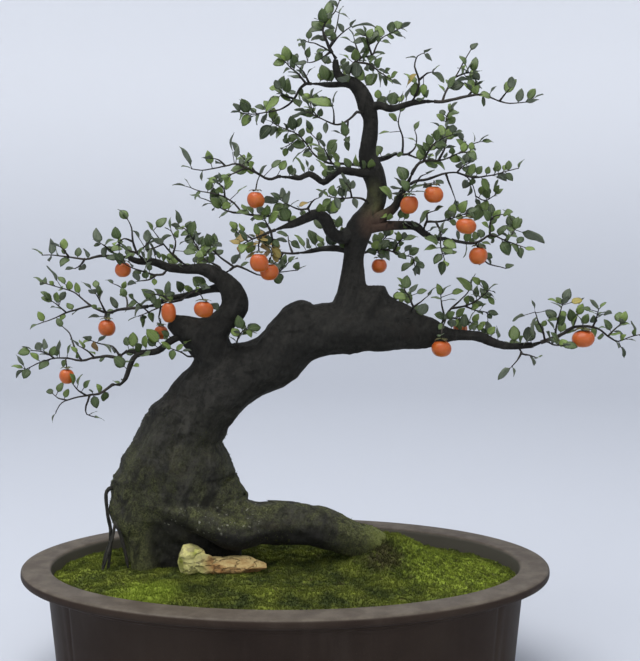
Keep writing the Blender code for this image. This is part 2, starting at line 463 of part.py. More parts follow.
        stem=[(88, 563, 4), (106, 567, 26), (120, 570, 34), (139, 567, 42), (152, 563, 50),
              (164, 560, 58), (167, 548, 64)],
        twigs=[[(120, 570, 34), (124, 580, 46), (132, 588, 56)],
               [(120, 570, 34), (120, 566, 24), (121, 564, 20)],
               [(139, 567, 42), (146, 578, 32), (152, 584, 24)]],
        leaves=[(106, 579, 14), (118, 582, 14), (131, 593, 14), (146, 586, 14), (158, 572, 13),
                (168, 542, 14), (140, 575, 13)]),
    "spray_right_branch_in": dict(
        radius=2.0,
        stem=[(158, 478, -8), (165, 496, -28), (174, 502, -34), (184, 510, -40)],
        twigs=[[(165, 496, -28), (160, 508, -38), (152, 520, -46)]],
        leaves=[(150, 528, 15), (166, 520, 15), (188, 517, 15), (176, 516, 14), (158, 514, 13)]),
    "spray_right_branch_mid": dict(
        radius=2.3,
        stem=[(196, 464, -12), (206, 482, 2), (214, 494, 8), (224, 504, 14), (234, 514, 20),
              (240, 526, 26)],
        twigs=[[(206, 482, 2), (220, 481, 14), (242, 475, 26), (256, 464, 36)],
               [(214, 494, 8), (232, 497, 0), (248, 505, -8), (262, 518, -16)],
               [(206, 482, 2), (202, 498, -8), (200, 512, -18)],
               [(206, 482, 2), (207, 480, -26), (203, 470, -42), (202, 460, -48)],
               [(232, 497, 0), (246, 492, -8), (262, 489, -16)]],
        leaves=[(231, 526, 26), (257, 524, 17), (264, 512, 15), (266, 504, 14), (264, 489, 16),
                (262, 470, 17), (240, 484, 14), (222, 516, 16), (206, 520, 15), (196, 508, 15),
                (214, 506, 14), (250, 510, 14), (240, 505, 14), (246, 530, 14)]),
    "spray_right_end_low": dict(
        radius=2.0,
        stem=[(300, 446, -21), (306, 437, -28), (300, 427, -34), (293, 418, -38)],
        twigs=[[(306, 437, -28), (316, 434, -38), (326, 430, -46)]],
        leaves=[(283, 409, 21), (318, 431, 14), (296, 412, 13)]),
    "spray_right_end": dict(
        radius=3.2,
        stem=[(321, 447, -23), (336, 452, -26), (349, 457, -29), (361, 463, -32), (371, 469, -35),
              (384, 471, -38), (397, 470, -42), (408, 466, -46), (417, 458, -50), (430, 451, -54),
              (445, 457, -58), (462, 461, -62)],
        twigs=[[(336, 452, -26), (332, 466, -18), (326, 480, -10), (322, 490, -4)],
               [(349, 457, -29), (350, 472, -38), (354, 487, -46), (358, 500, -52)],
               [(397, 470, -42), (402, 482, -50), (404, 494, -56)],
               [(371, 469, -35), (376, 484, -26), (378, 498, -18)],
               [(336, 452, -26), (348, 447, -36), (360, 446, -44)],
               [(417, 458, -50), (426, 468, -42), (434, 476, -36)]],
        leaves=[(321, 496, 16), (321, 474, 27), (300, 483, 17), (338, 491, 14), (353, 497, 15),
                (363, 512, 17), (376, 504, 15), (380, 482, 14), (399, 500, 16), (407, 488, 14),
                (416, 488, 14), (430, 463, 16), (434, 476, 14), (437, 437, 16), (450, 470, 17),
                (466, 470, 16), (346, 505, 14), (366, 444, 13), (345, 480, 13), (388, 494, 13)]),
}


# Plan: places, paths and leaves, all in mm

def seen(x, z, depth):
    """The point that is seen at (x, z) on the middle plane, taken along the sight line to its depth."""
    scale = (VIEW_DISTANCE + depth) / VIEW_DISTANCE
    return np.array([VIEW_X + (x - VIEW_X) * scale, depth, VIEW_Z + (z - VIEW_Z) * scale])


def unit(vector):
    """The vector at length 1."""
    return vector / np.linalg.norm(vector)


def smooth_path(points, spacing):
    """Catmull-Rom curve through the points, read about every spacing of its first three columns."""
    points = np.asarray(points, dtype=float)
    padded = np.vstack([2 * points[0] - points[1], points, 2 * points[-1] - points[-2]])
    rows = []
    for index in range(len(points) - 1):
        p0, p1, p2, p3 = padded[index:index + 4]
        steps = max(1, round(np.linalg.norm(p2[:3] - p1[:3]) / spacing))
        for step in range(steps):
            t = step / steps
            rows.append(0.5 * (2 * p1 + (p2 - p0) * t + (2 * p0 - 5 * p1 + 4 * p2 - p3) * t ** 2
                               + (3 * p1 - p0 - 3 * p2 + p3) * t ** 3))
    rows.append(points[-1])
    return np.array(rows)


def limb_path(readings, spacing):
    """Rows of x, y, z, radius and depth ratio along a limb of the wood."""
    rows = [[*seen(r[0], r[1], r[2]), r[3], r[4] if len(r) > 4 else 1.0] for r in readings]
    return smooth_path(rows, spacing)


def twig_path(readings, first, last):
    """Rows of x, y, z and radius along a twig that thins from its first to its last radius."""
    rows = smooth_path([seen(*reading) for reading in readings], TWIG_SPACING)
    radii = np.linspace(first, last, len(rows))
    return np.column_stack([rows, radii])


def balls_along(path, every=3.0, extra=0.0):
    """Balls (x, y, z, radius) that fill a path, for clearance tests."""
    rows = []
    for a, b in zip(path[:-1], path[1:]):
        count = max(1, int(np.linalg.norm(b[:3] - a[:3]) / every))
        for step in range(count):
            rows.append(a[:4] + (b[:4] - a[:4]) * step / count)
    rows.append(path[-1][:4])
    balls = np.array(rows)
    balls[:, 3] += extra
    return balls


def clear_by(balls, others):
    """The least clearance between two sets of balls."""
    if not len(balls) or not len(others):
        return math.inf
    apart = np.linalg.norm(balls[:, None, :3] - others[None, :, :3], axis=2)
    return float((apart - balls[:, None, 3] - others[None, :, 3]).min())


def length_along(path):
    """Distance of each row of a path from its start."""
    steps = np.linalg.norm(np.diff(path[:, :3], axis=0), axis=1)
    return np.concatenate([[0.0], np.cumsum(steps)])


def point_at(path, distance):
    """The row of a path at a distance from its start."""
    along = length_along(path)
    return np.array([np.interp(distance, along, path[:, column]) for column in range(path.shape[1])])


def cut_path(path, start, end):
    """The stretch of a path between two distances."""
    along = length_along(path)
    inside = path[(along > start + 1.0) & (along < end - 1.0)]
    return np.vstack([point_at(path, start), inside, point_at(path, end)])


def nearest_row(paths, point, skip=2.0):
    """The row of the paths that lies nearest to a point, away from the first stretch of each."""
    best = None
    for path in paths:
        along = length_along(path)
        for distance in np.arange(skip, along[-1] - 0.5, 1.5):
            row = point_at(path, distance)
            apart = np.linalg.norm(row[:3] - point)
            if best is None or apart < best[0]:
                best = (apart, row)
    return best[1]


def bent_clear(readings, first, last, others, from_row):
    """A twig's path, its depth bent step by step until it stays clear of the other nodes."""
    for bend in BENDS:
        share = np.linspace(0.0, 1.0, len(readings))
        moved = [(x, z, y + bend * s) for (x, z, y), s in zip(readings, share)]
        path = twig_path(moved, first, last)
        if from_row is not None:
            shift = from_row[:3] - path[0, :3]
            path[:, :3] += shift * np.linspace(1.0, 0.0, len(path))[:, None]
        tested = balls_along(path, extra=TWIG_CLEAR)
        if clear_by(tested, others) > 0:
            return path
    return path


def split_stem(path, wood_balls):
    """Where a stem leaves the wood behind: the distance along it that is clear of every limb."""
    along = length_along(path)
    for distance in np.arange(2.0, along[-1], 1.0):
        ball = point_at(path, distance)[None, :4]
        if clear_by(ball, wood_balls) > STUB_CLEAR:
            return distance
    return along[-1] * 0.5


def leaf_points(leaf):
    """Balls over a leaf's blade, for clearance tests."""
    side = np.cross(leaf["normal"], leaf["axis"])
    rows = []
    for u in (0.22, 0.46, 0.73, 1.0):
        for v in (-0.46, 0.0, 0.46):
            width = v * leaf["width"] * min(u / 0.46, (1.0 - u) / 0.54)
            drop = leaf["droop"] * (u - 0.3) ** 2 * leaf["length"]
            along = leaf["neck"] + u * leaf["length"]
            rows.append([*(leaf["base"] + leaf["axis"] * along + side * width
                           - leaf["normal"] * drop), 1.5])
    return np.array(rows)


def make_leaf(base, axis, rng, length, neck=0.0):
    """A leaf at a point of its twig: where it starts, where it points and how it is turned."""
    axis = unit(axis)
    up = np.array([rng.uniform(-0.45, 0.45), rng.uniform(-0.9, 0.5), 0.75])
    normal = unit(up - axis * up.dot(axis))
    return dict(base=base, axis=axis, normal=normal, length=length, neck=neck,
                width=length * LEAF_WIDTH_RATIO * rng.uniform(0.88, 1.1), droop=rng.uniform(0.1, 0.5))


def plan_tree():
    """Wood limbs, sprays with their tubes and leaves, and fruits, in mm."""
    rng = random.Random(SEED)
    wood = {name: (limb_path(rows, WOOD_SPACING if sides > 6 else LIMB_SPACING), sides)
            for name, (rows, sides) in {**LIMBS, **ROOTS_BELOW}.items()}
    wood_balls = np.vstack([balls_along(path) for path, sides in wood.values()])
    fruits = {}
    for name, (x, z, depth, width, height, spray) in FRUITS.items():
        fruits[name] = dict(centre=seen(x, z, depth), width=width, height=height, spray=spray)
    fruit_balls = np.array([[*f["centre"], 0.5 * max(f["width"], f["height"]) + 1.0]
                            for f in fruits.values()])

    sprays = {}
    taken = {}
    for name, rule in SPRAYS.items():
        others = np.vstack([fruit_balls] + list(taken.values()))
        stem = bent_clear(rule["stem"], rule["radius"], TWIG_TIP, others, None)
        cut = split_stem(stem, wood_balls)
        heading = unit(point_at(stem, cut + 1.0)[:3] - point_at(stem, cut - 1.0)[:3])
        stub = cut_path(stem, 0.0, cut)
        stem = cut_path(stem, cut, length_along(stem)[-1])
        stem[0, :3] += heading * STUB_GAP
        tubes = [stem]
        beyond = np.vstack([others, wood_balls, balls_along(stub)])
        for twig in rule["twigs"]:
            start = nearest_row(tubes, seen(*twig[0]))
            radius = min(start[3], TWIG_MAX)
            tubes.append(bent_clear(twig, radius, TWIG_TIP, beyond, start))
        sprays[name] = dict(tubes=tubes, stub=stub, heading=heading, leaves=[], calyces=[])
        taken[name] = np.vstack([balls_along(path, extra=0.6) for path in tubes]
                                + [balls_along(stub, extra=0.6)])
    stub_balls = np.vstack([balls_along(spray["stub"]) for spray in sprays.values()])
    wood_balls = np.vstack([wood_balls, stub_balls])

    for name, fruit in fruits.items():
        spray = sprays[fruit["spray"]]
        top = fruit["centre"] + np.array([0.0, 0.0, 0.5 * fruit["height"] + GAP])
        start = nearest_row(spray["tubes"], top + np.array([0.0, 0.0, 6.0]), skip=4.0)
        neck = top + np.array([0.0, 0.0, CALYX_THICKNESS + 4.0])
        stalk = smooth_path([start[:3], 0.35 * start[:3] + 0.65 * neck + [0, 0, 1.0],
                             top + [0.0, 0.0, 0.6 * CALYX_THICKNESS]], 5.0)
        stalk = np.column_stack([stalk, np.linspace(*STALK_RADII, len(stalk))])
        spray["tubes"].append(stalk)
        spray["calyces"].append(dict(top=top, radius=0.36 * fruit["width"]))
        ring = [[top[0], top[1], top[2] + 1.0, 0.38 * fruit["width"]]]
        taken[fruit["spray"]] = np.vstack([taken[fruit["spray"]], balls_along(stalk, extra=0.6), ring])

    for name, rule in SPRAYS.items():
        spray = sprays[name]
        beyond = np.vstack([fruit_balls, wood_balls] + [b for n, b in taken.items() if n != name])
        own = [np.empty((0, 4))]
        for x, z, length in rule["leaves"]:
            add_marked_leaf(spray, x, z, length, rng, beyond, own)
        for path in spray["tubes"][:1 + len(rule["twigs"])]:
            add_end_leaf(spray, path, rng, beyond, own)
        taken[name] = np.vstack([taken[name]] + own)
    return wood, sprays, fruits


def try_leaf(spray, leaf, beyond, own):
    """Keeps the leaf if it is clear of the other nodes and of its own spray's leaves."""
    points = leaf_points(leaf)
    if clear_by(points, beyond) < LEAF_CLEAR or clear_by(points, np.vstack(own)) < LEAF_APART:
        return False
    spray["leaves"].append(leaf)
    own.append(points)
    return True


def add_marked_leaf(spray, x, z, length, rng, beyond, own):
    """A leaf seen at (x, z): its blade is centred there, with a leaf stalk where it is far away."""
    twigs = [path for path in spray["tubes"] if length_along(path)[-1] > 8.0]
    guess = seen(x, z, float(np.mean([path[-1, 1] for path in twigs])))
    near = nearest_row(twigs, guess)
    for turn in (0.0, 8.0, -8.0, 16.0, -16.0):
        centre = seen(x, z, near[1] + rng.uniform(-3.0, 3.0) + turn)
        reach = np.linalg.norm(centre - near[:3])
        axis = unit(centre - near[:3] + np.array([0.01, 0.0, 0.01]))
        neck = max(0.0, reach - 0.5 * length)
        if neck > LEAF_NECK_MAX:
            continue
        if try_leaf(spray, make_leaf(near[:3], axis, rng, length, neck), beyond, own):
            return


def add_end_leaf(spray, path, rng, beyond, own):
    """A small leaf that ends a twig, where no leaf is there already."""
    here = path[-1, :3]
    if clear_by(np.array([[*here, 1.0]]), np.vstack(own)) < 0.0:
        return
    tangent = unit(here - path[-2, :3])
    for attempt in range(4):
        axis = tangent + [rng.uniform(-0.4, 0.4), rng.uniform(-0.5, 0.5), rng.uniform(-0.1, 0.5)]
        leaf = make_leaf(here - tangent * 0.6, axis, rng, LEAF_LENGTH * rng.uniform(0.7, 0.9))
        if try_leaf(spray, leaf, beyond, own):
            return


# Meshes: each returns points in mm and faces that point outwards

def tube_mesh(path, sides, lumps=0.0, first=None, last=None):
    """Closed tube: a ring of sides at each row of the path, wide along Y by the depth ratio.

    The end rings stand square to the first and last directions, where these are given."""
    centres = path[:, :3]
    steps = np.gradient(centres, axis=0)
    tangents = steps / np.linalg.norm(steps, axis=1)[:, None]
    if first is not None:
        tangents[0] = first
    if last is not None:
        tangents[-1] = last
    reference = [0.0, 1.0, 0.0] if abs(tangents[0][1]) < 0.9 else [1.0, 0.0, 0.0]
    across = unit(np.cross(tangents[0], reference))
    ratio = path[:, 4] if path.shape[1] > 4 else np.ones(len(path))
    angles = np.arange(sides) * 2.0 * math.pi / sides
    points = []
    for row, tangent in enumerate(tangents):
        across = unit(across - tangent * across.dot(tangent))
        deep = np.cross(tangent, across)
        swell = 1.0 + lumps * np.sin(2.0 * angles + 0.9 * row) * math.sin(1.7 * row)
        radius = path[row, 3] * swell
        ring = (np.outer(radius * np.cos(angles), across)
                + np.outer(radius * ratio[row] * np.sin(angles), deep))
        points.extend(centres[row] + ring)
    faces = [list(range(sides))[::-1], [len(points) - sides + k for k in range(sides)]]
    for row in range(len(path) - 1):
        for k in range(sides):
            a, b = row * sides + k, row * sides + (k + 1) % sides
            faces.append([a, b, b + sides])
            faces.append([a, b + sides, a + sides])
    return np.array(points), faces


def leaf_mesh(leaf):
    """Folded rhombic lens of a blade, from its point in the twig to its tip, crowned on each face."""
    side = np.cross(leaf["normal"], leaf["axis"])
    half = 0.5 * LEAF_THICKNESS

    def place(u, v, lift):
        height = 0.12 * abs(v) * leaf["width"] - leaf["droop"] * (u - 0.3) ** 2 * leaf["length"] + lift
        along = leaf["neck"] + u * leaf["length"]
        return (leaf["base"] + leaf["axis"] * along + side * v * leaf["width"]
                + leaf["normal"] * height)

    points = [leaf["base"]] + [place(u, v, 0.0) for u, v in ((0.46, -0.5), (1.0, 0.0), (0.46, 0.5))]
    points += [place(0.44, 0.0, half), place(0.44, 0.0, -half)]
    faces = [[k, (k + 1) % 4, 4] for k in range(4)] + [[(k + 1) % 4, k, 5] for k in range(4)]
    return np.array(points), faces


def calyx_mesh(calyx):
    """Four-lobed lens on top of a fruit."""
    centre = calyx["top"]
    points = []
    for k in range(4):
        angle = CALYX_TURN + 0.5 * k * math.pi
        reach = calyx["radius"]
        points.append(centre + [reach * math.cos(angle), reach * math.sin(angle), 0.35 - 0.08 * reach])
    points += [centre + [0.0, 0.0, CALYX_THICKNESS], centre.copy()]
    faces = [[k, (k + 1) % 4, 4] for k in range(4)] + [[(k + 1) % 4, k, 5] for k in range(4)]
    return np.array(points), faces


def fruit_mesh(fruit, sides=8, rings=5):
    """Flattened globe, squarer in its shoulders than a ball."""
    points = [fruit["centre"] + [0.0, 0.0, 0.5 * fruit["height"]]]
    for ring in range(1, rings):
        angle = math.pi * ring / rings
        radius = 0.5 * fruit["width"] * math.sin(angle) ** 0.86
        height = 0.5 * fruit["height"] * math.cos(angle)
        for k in range(sides):
            turn = 2.0 * math.pi * (k + 0.5 * (ring % 2)) / sides
            points.append(fruit["centre"] + [radius * math.cos(turn), radius * math.sin(turn), height])
    points.append(fruit["centre"] - [0.0, 0.0, 0.5 * fruit["height"]])
    faces = [[0, 1 + k, 1 + (k + 1) % sides] for k in range(sides)]
    for ring in range(rings - 2):
        first, second = 1 + ring * sides, 1 + (ring + 1) * sides
        lag = ring % 2
        for k in range(sides):
            a, b = first + k, first + (k + 1) % sides
            c, d = second + (k - 1 + lag) % sides, second + (k + lag) % sides
            faces.append([a, d, b] if lag == 0 else [a, c, d])
            faces.append([a, c, d] if lag == 0 else [a, d, b])
    last, end = 1 + (rings - 2) * sides, len(points) - 1
    faces += [[last + (k + 1) % sides, last + k, end] for k in range(sides)]
    return np.array(points), faces


def oval(half_length, half_depth, height, sides):
    """Ring of an ellipse at a height."""
    turns = np.arange(sides) * 2.0 * math.pi / sides
    return np.column_stack([half_length * np.cos(turns), half_depth * np.sin(turns),
                            np.full(sides, height)])


def pot_mesh():
    """Closed skin of the pot: outside from the foot up, over the rim and down the inside."""
    lip_x, lip_y, top = POT_HALF_LENGTH, POT_HALF_DEPTH, POT_HEIGHT
    band = RIM_OVERHANG
    panel = top - RIM_DROP - BAND_HEIGHT
    profile = [
        (band + BODY_TAPER + FOOT_CHAMFER, 0.0), (band + BODY_TAPER, FOOT_CHAMFER - 1.0),
        (band + BAND_PROUD, panel), (band, panel + 2.0), (band, top - RIM_DROP),
        (3.0, top - RIM_DROP), (0.0, top - RIM_DROP + 3.0),
        (0.0, top - LIP_CHAMFER), (LIP_CHAMFER, top),
        (RIM_WIDTH - 1.5, top), (RIM_WIDTH, top - 1.5),
        (band + WALL, panel - 6.0), (band + BODY_TAPER + WALL, FLOOR + 4.0),
        (band + BODY_TAPER + WALL + FOOT_CHAMFER, FLOOR),
    ]
    rings = [oval(lip_x - inset, lip_y - inset, height, POT_SIDES) for inset, height in profile]
    return loft(rings)


def loft(rings, turned_rows=0):
    """Closed skin through rings that run upwards outside; the first rows have turned diagonals."""
    sides = len(rings[0])
    faces = [list(range(sides))[::-1]]
    for row in range(len(rings) - 1):
        for k in range(sides):
            a, b = row * sides + k, row * sides + (k + 1) % sides
            if row < turned_rows:
                faces.append([a, b, a + sides])
                faces.append([b, b + sides, a + sides])
            else:
                faces.append([a, b, b + sides])
                faces.append([a, b + sides, a + sides])
    last = (len(rings) - 1) * sides
    faces.append([last + k for k in range(sides)])
    return np.vstack(rings), faces


def inner_half(inset):
    """Half length and half depth of what fills the pot, at an inset from the rim's outside."""
    return POT_HALF_LENGTH - inset - 2.0 * GAP, POT_HALF_DEPTH - inset - 2.0 * GAP


def hill(mound, x, y):
    """Height of a rounded mound over a place."""
    return mound["height"] * math.exp(-0.5 * (((x - mound["x"]) / mound["spread_x"]) ** 2
                                              + ((y - mound["y"]) / mound["spread_y"]) ** 2))


def moss_height(x, y):
    """Top of the moss over a place inside the pot."""
    half_length, half_depth = inner_half(RIM_OVERHANG + WALL)
    reach = min(1.0, math.hypot(x / half_length, y / half_depth))
    return (MOSS_LEVEL - MOSS_EDGE_DROP * reach ** 6 - MOSS_SLOPE * y
            + hill(MOUND, x, y) + hill(FOOT_MOUND, x, y))


def ground_mesh(top_of, bottom_of, foot_rings):
    """Body under a height function: foot rings (inset, height) upwards, then the top's rings."""
    brim = inner_half(RIM_OVERHANG + WALL)
    turns = np.arange(POT_SIDES) * 2.0 * math.pi / POT_SIDES
    rings = [oval(*inner_half(inset), height, POT_SIDES) for inset, height in foot_rings]

    def ring_at(share, height_of):
        xs, ys = brim[0] * share * np.cos(turns), brim[1] * share * np.sin(turns)
        return np.array([[x, y, height_of(x, y)] for x, y in zip(xs, ys)])

    shares = [ring / GROUND_RINGS for ring in range(1, GROUND_RINGS + 1)]
    if bottom_of is not None:
        rings = [ring_at(share, bottom_of) for share in shares] + rings
    rings += [ring_at(share, top_of) for share in reversed(shares)]
    points, faces = loft(rings, GROUND_RINGS if bottom_of is not None else 0)
    if bottom_of is not None:
        points = np.vstack([points, [0.0, 0.0, bottom_of(0.0, 0.0)]])
        centre = len(points) - 1
        faces[0:1] = [[(k + 1) % POT_SIDES, k, centre] for k in range(POT_SIDES)]
    last = (len(rings) - 1) * POT_SIDES
    points = np.vstack([points, [0.0, 0.0, top_of(0.0, 0.0)]])
    faces.pop()
    faces += [[last + k, last + (k + 1) % POT_SIDES, len(points) - 1] for k in range(POT_SIDES)]
    return points, faces


# Blender objects

def material(name, colour, roughness):
    """A Principled material."""
    made = bpy.data.materials.new(name)
    made.use_nodes = True
    shader = made.node_tree.nodes["Principled BSDF"]
    shader.inputs["Base Color"].default_value = (*colour, 1.0)
    shader.inputs["Roughness"].default_value = roughness
    shader.inputs["Metallic"].default_value = 0.0
    return made


def add_object(name, points, faces):
    """An object from points in mm, linked to the scene."""
    mesh = bpy.data.meshes.new(name)
    mesh.from_pydata((np.asarray(points) * MM).tolist(), [], faces)
    mesh.update()
    obj = bpy.data.objects.new(name, mesh)
    bpy.context.scene.collection.objects.link(obj)
    return obj


def open_edges(data):
    """How many edges of a mesh don't join two faces, as it is and with its closest points made one."""
    mesh = bmesh.new()
    mesh.from_mesh(data)
    count = sum(1 for edge in mesh.edges if len(edge.link_faces) != 2)
    bmesh.ops.remove_doubles(mesh, verts=mesh.verts, dist=WELD * MM)
    count += sum(1 for edge in mesh.edges if len(edge.link_faces) != 2)
    mesh.free()
    return count


def crossing_faces(data):
    """How many pairs of a mesh's triangles cross without sharing a corner."""
    mesh = bmesh.new()
    mesh.from_mesh(data)
    for vert in mesh.verts:
        vert.co /= MM
    bmesh.ops.triangulate(mesh, faces=mesh.faces)
    mesh.faces.ensure_lookup_table()
    tree = BVHTree.FromBMesh(mesh)
    pairs = [(mesh.faces[i], mesh.faces[j]) for i, j in tree.overlap(tree) if i < j]
    count = sum(1 for one, two in pairs if not set(one.verts) & set(two.verts))
    mesh.free()
    return count


def evaluated_mesh(obj):
    """A new mesh of the object with its modifiers applied."""
    depsgraph = bpy.context.evaluated_depsgraph_get()
    return bpy.data.meshes.new_from_object(obj.evaluated_get(depsgraph))


def combine(obj, tools, operation, solvers=("EXACT", "MANIFOLD")):
    """One Boolean of the object with a collection of tools, applied, and the tools removed.

    The solvers are tried in their order until one leaves a closed mesh."""
    group = bpy.data.collections.new("tools")
    bpy.context.scene.collection.children.link(group)
    for tool in tools:
        group.objects.link(tool)
        bpy.context.scene.collection.objects.unlink(tool)
    modifier = obj.modifiers.new("combine", "BOOLEAN")
    modifier.operation = operation
    modifier.operand_type = "COLLECTION"
    modifier.collection = group
    made = None
    for solver in solvers:
        modifier.solver = solver
        mesh = evaluated_mesh(obj)
        if made is None or open_edges(mesh) < open_edges(made):
            made = mesh
        if open_edges(made) == 0:
            break
    obj.modifiers.clear()
    obj.data = made
    for tool in tools:
        bpy.data.objects.remove(tool)
    bpy.data.collections.remove(group)
    return obj


def fewer_faces(obj, share):
    """Collapses short edges down to a share of the faces, less far where the body would suffer."""
    modifier = obj.modifiers.new("fewer", "DECIMATE")
    for ratio in (share, share + 0.05, share + 0.1, share + 0.17, share + 0.25, 1.0):
        modifier.ratio = ratio
        made = evaluated_mesh(obj)
        if open_edges(made) == 0 and crossing_faces(made) == 0:
            break
    obj.modifiers.clear()
    obj.data = made
    return obj


def one_body(obj):
    """Triangulates the mesh and keeps its largest connected body."""
    mesh = bmesh.new()
    mesh.from_mesh(obj.data)
    bmesh.ops.triangulate(mesh, faces=mesh.faces)
    left = set(mesh.verts)
    groups = []
    while left:
        stack, group = [left.pop()], []
        while stack:
            vert = stack.pop()
            group.append(vert)
            for edge in vert.link_edges:
                other = edge.other_vert(vert)
                if other in left:
                    left.remove(other)
                    stack.append(other)
        groups.append(group)
    groups.sort(key=len)
    for group in groups[:-1]:
        bmesh.ops.delete(mesh, geom=group, context="VERTS")
    mesh.to_mesh(obj.data)
    mesh.free()
    return obj


def finish_object(obj, made):
    """Gives an object its material and smooth shading with sharp creases."""
    obj.data.materials.clear()
    obj.data.materials.append(made)
    obj.data.shade_smooth()
    obj.data.set_sharp_from_angle(angle=math.radians(40.0))


def box_object(name, low, high):
    """A box between two corners in mm."""
    (x0, y0, z0), (x1, y1, z1) = low, high
    ring = [(x0, y0), (x1, y0), (x1, y1), (x0, y1)]
    return add_object(name, *loft([np.array([[x, y, z] for x, y in ring]) for z in (z0, z1)]))


def build_pot(made):
    """The pot with two drain holes and the channels that join them to the edge of its foot."""
    pot = add_object("pot", *pot_mesh())
    cutters = []
    for side in (-1.0, 1.0):
        rings = [oval(DRAIN_RADIUS, DRAIN_RADIUS, height, DRAIN_SIDES) + [side * DRAIN_X, 0.0, 0.0]
                 for height in (-5.0, FLOOR + 5.0)]
        cutters.append(add_object("drain", *loft(rings)))
        low = (side * DRAIN_X - 0.5 * CHANNEL_WIDTH, -POT_HALF_DEPTH, -5.0)
        high = (side * DRAIN_X + 0.5 * CHANNEL_WIDTH, POT_HALF_DEPTH, CHANNEL_DEPTH)
        cutters.append(box_object("channel", low, high))
    finish_object(one_body(combine(pot, cutters, "DIFFERENCE")), made)


def build_drain_mesh(name, x, made):
    """A square plastic mesh that lies over a drain hole, inside the pot."""
    half, low = 0.5 * MESH_SIZE, FLOOR + GAP
    mesh = box_object(name, (x - half, -half, low), (x + half, half, low + MESH_THICKNESS))
    pitch = MESH_SIZE / (MESH_HOLES + 0.4)
    reach = 0.5 * MESH_HOLE_SHARE * pitch
    cutters = []
    for row in range(MESH_HOLES):
        for column in range(MESH_HOLES):
            cx = x + (row - 0.5 * (MESH_HOLES - 1)) * pitch
            cy = (column - 0.5 * (MESH_HOLES - 1)) * pitch
            cutters.append(box_object("hole", (cx - reach, cy - reach, 0.0),
                                      (cx + reach, cy + reach, 2.0 * FLOOR)))
    finish_object(one_body(combine(mesh, cutters, "DIFFERENCE")), made)


def build_wood(wood, sprays, made):
    """The tree's grown wood as one solid: every limb, and the stub of each spray."""
    tubes = [add_object("limb", *tube_mesh(path, sides, LUMPS if sides > 8 else 0.0))
             for path, sides in wood.values()]
    tubes += [add_object("stub", *tube_mesh(spray["stub"], STEM_SIDES, last=spray["heading"]))
              for spray in sprays.values()]
    tubes[0].name = "wood"
    body = one_body(combine(tubes[0], tubes[1:], "UNION"))
    finish_object(fewer_faces(body, WOOD_FACE_SHARE), made)
    return body


def build_rock(made):
    """The stone: a tall lump and a low slab grown together."""
    lumps = []
    for name, x, z, depth, size in ROCK_LUMPS:
        mesh = bmesh.new()
        bmesh.ops.create_icosphere(mesh, subdivisions=2, radius=1.0)
        centre = seen(x, z, depth)
        rng = random.Random(SEED + len(name))
        for vert in mesh.verts:
            bump = 1.0 + rng.uniform(*ROCK_BUMPS)
            blunt = [math.copysign(abs(c) ** ROCK_BLUNTNESS, c) for c in vert.co]
            vert.co = [(centre[i] + blunt[i] * bump * size[i]) * MM for i in range(3)]
        data = bpy.data.meshes.new(name)
        mesh.to_mesh(data)
        mesh.free()
        lumps.append(bpy.data.objects.new(name, data))
        bpy.context.scene.collection.objects.link(lumps[-1])
    rock = one_body(combine(lumps[0], lumps[1:], "UNION"))
    finish_object(fewer_faces(rock, ROCK_FACE_SHARE), made)
    return rock


def grown_copy(obj, grow):
    """A copy of a body made larger all round, which cuts its socket."""
    copy = obj.copy()
    copy.data = obj.data.copy()
    bpy.context.scene.collection.objects.link(copy)
    mesh = bmesh.new()
    mesh.from_mesh(copy.data)
    mesh.normal_update()
    for vert in mesh.verts:
        vert.co += vert.normal * vert.calc_shell_factor() * grow * MM
    mesh.to_mesh(copy.data)
    mesh.free()
    return copy


def build_ground(wood, rock, moss_made, soil_made):
    """Moss and soil, with sockets where the wood and the rock stand in them."""
    def moss_bottom(x, y):
        return moss_height(x, y) - MOSS_THICKNESS

    def soil_top(x, y):
        return moss_bottom(x, y) - GAP

    deep = RIM_OVERHANG + WALL + BODY_TAPER
    soil_foot = [(deep + FOOT_CHAMFER, FLOOR + 2.0 * GAP + MESH_THICKNESS),
                 (deep, FLOOR + FOOT_CHAMFER),
                 (RIM_OVERHANG + WALL, POT_HEIGHT - RIM_DROP - BAND_HEIGHT - 6.0)]
    moss = add_object("moss", *ground_mesh(moss_height, moss_bottom, []))
    soil = add_object("soil", *ground_mesh(soil_top, None, soil_foot))
    tools = [grown_copy(wood, SOCKET_GAP), grown_copy(rock, SOCKET_GAP)]
    finish_object(one_body(combine(moss, tools, "DIFFERENCE")), moss_made)
    for space in (ROOT_SPACE, 0.0):
        soil = combine(soil, [grown_copy(wood, space)], "DIFFERENCE", ("MANIFOLD", "EXACT"))
    finish_object(one_body(soil), soil_made)


def build_spray(name, spray, made):
    """Stem, twigs, leaf stalks, leaves and calyces of a spray as one solid."""
    parts = []
    for index, path in enumerate(spray["tubes"]):
        first = spray["heading"] if index == 0 else None
        sides = STEM_SIDES if index == 0 else TWIG_SIDES
        parts.append(add_object("twig", *tube_mesh(path, sides, first=first)))
    parts += [add_object("leaf", *leaf_mesh(leaf)) for leaf in spray["leaves"]]
    parts += [add_object("calyx", *calyx_mesh(calyx)) for calyx in spray["calyces"]]
    parts[0].name = name
    body = one_body(combine(parts[0], parts[1:], "UNION"))
    finish_object(fewer_faces(body, SPRAY_FACE_SHARE), made)


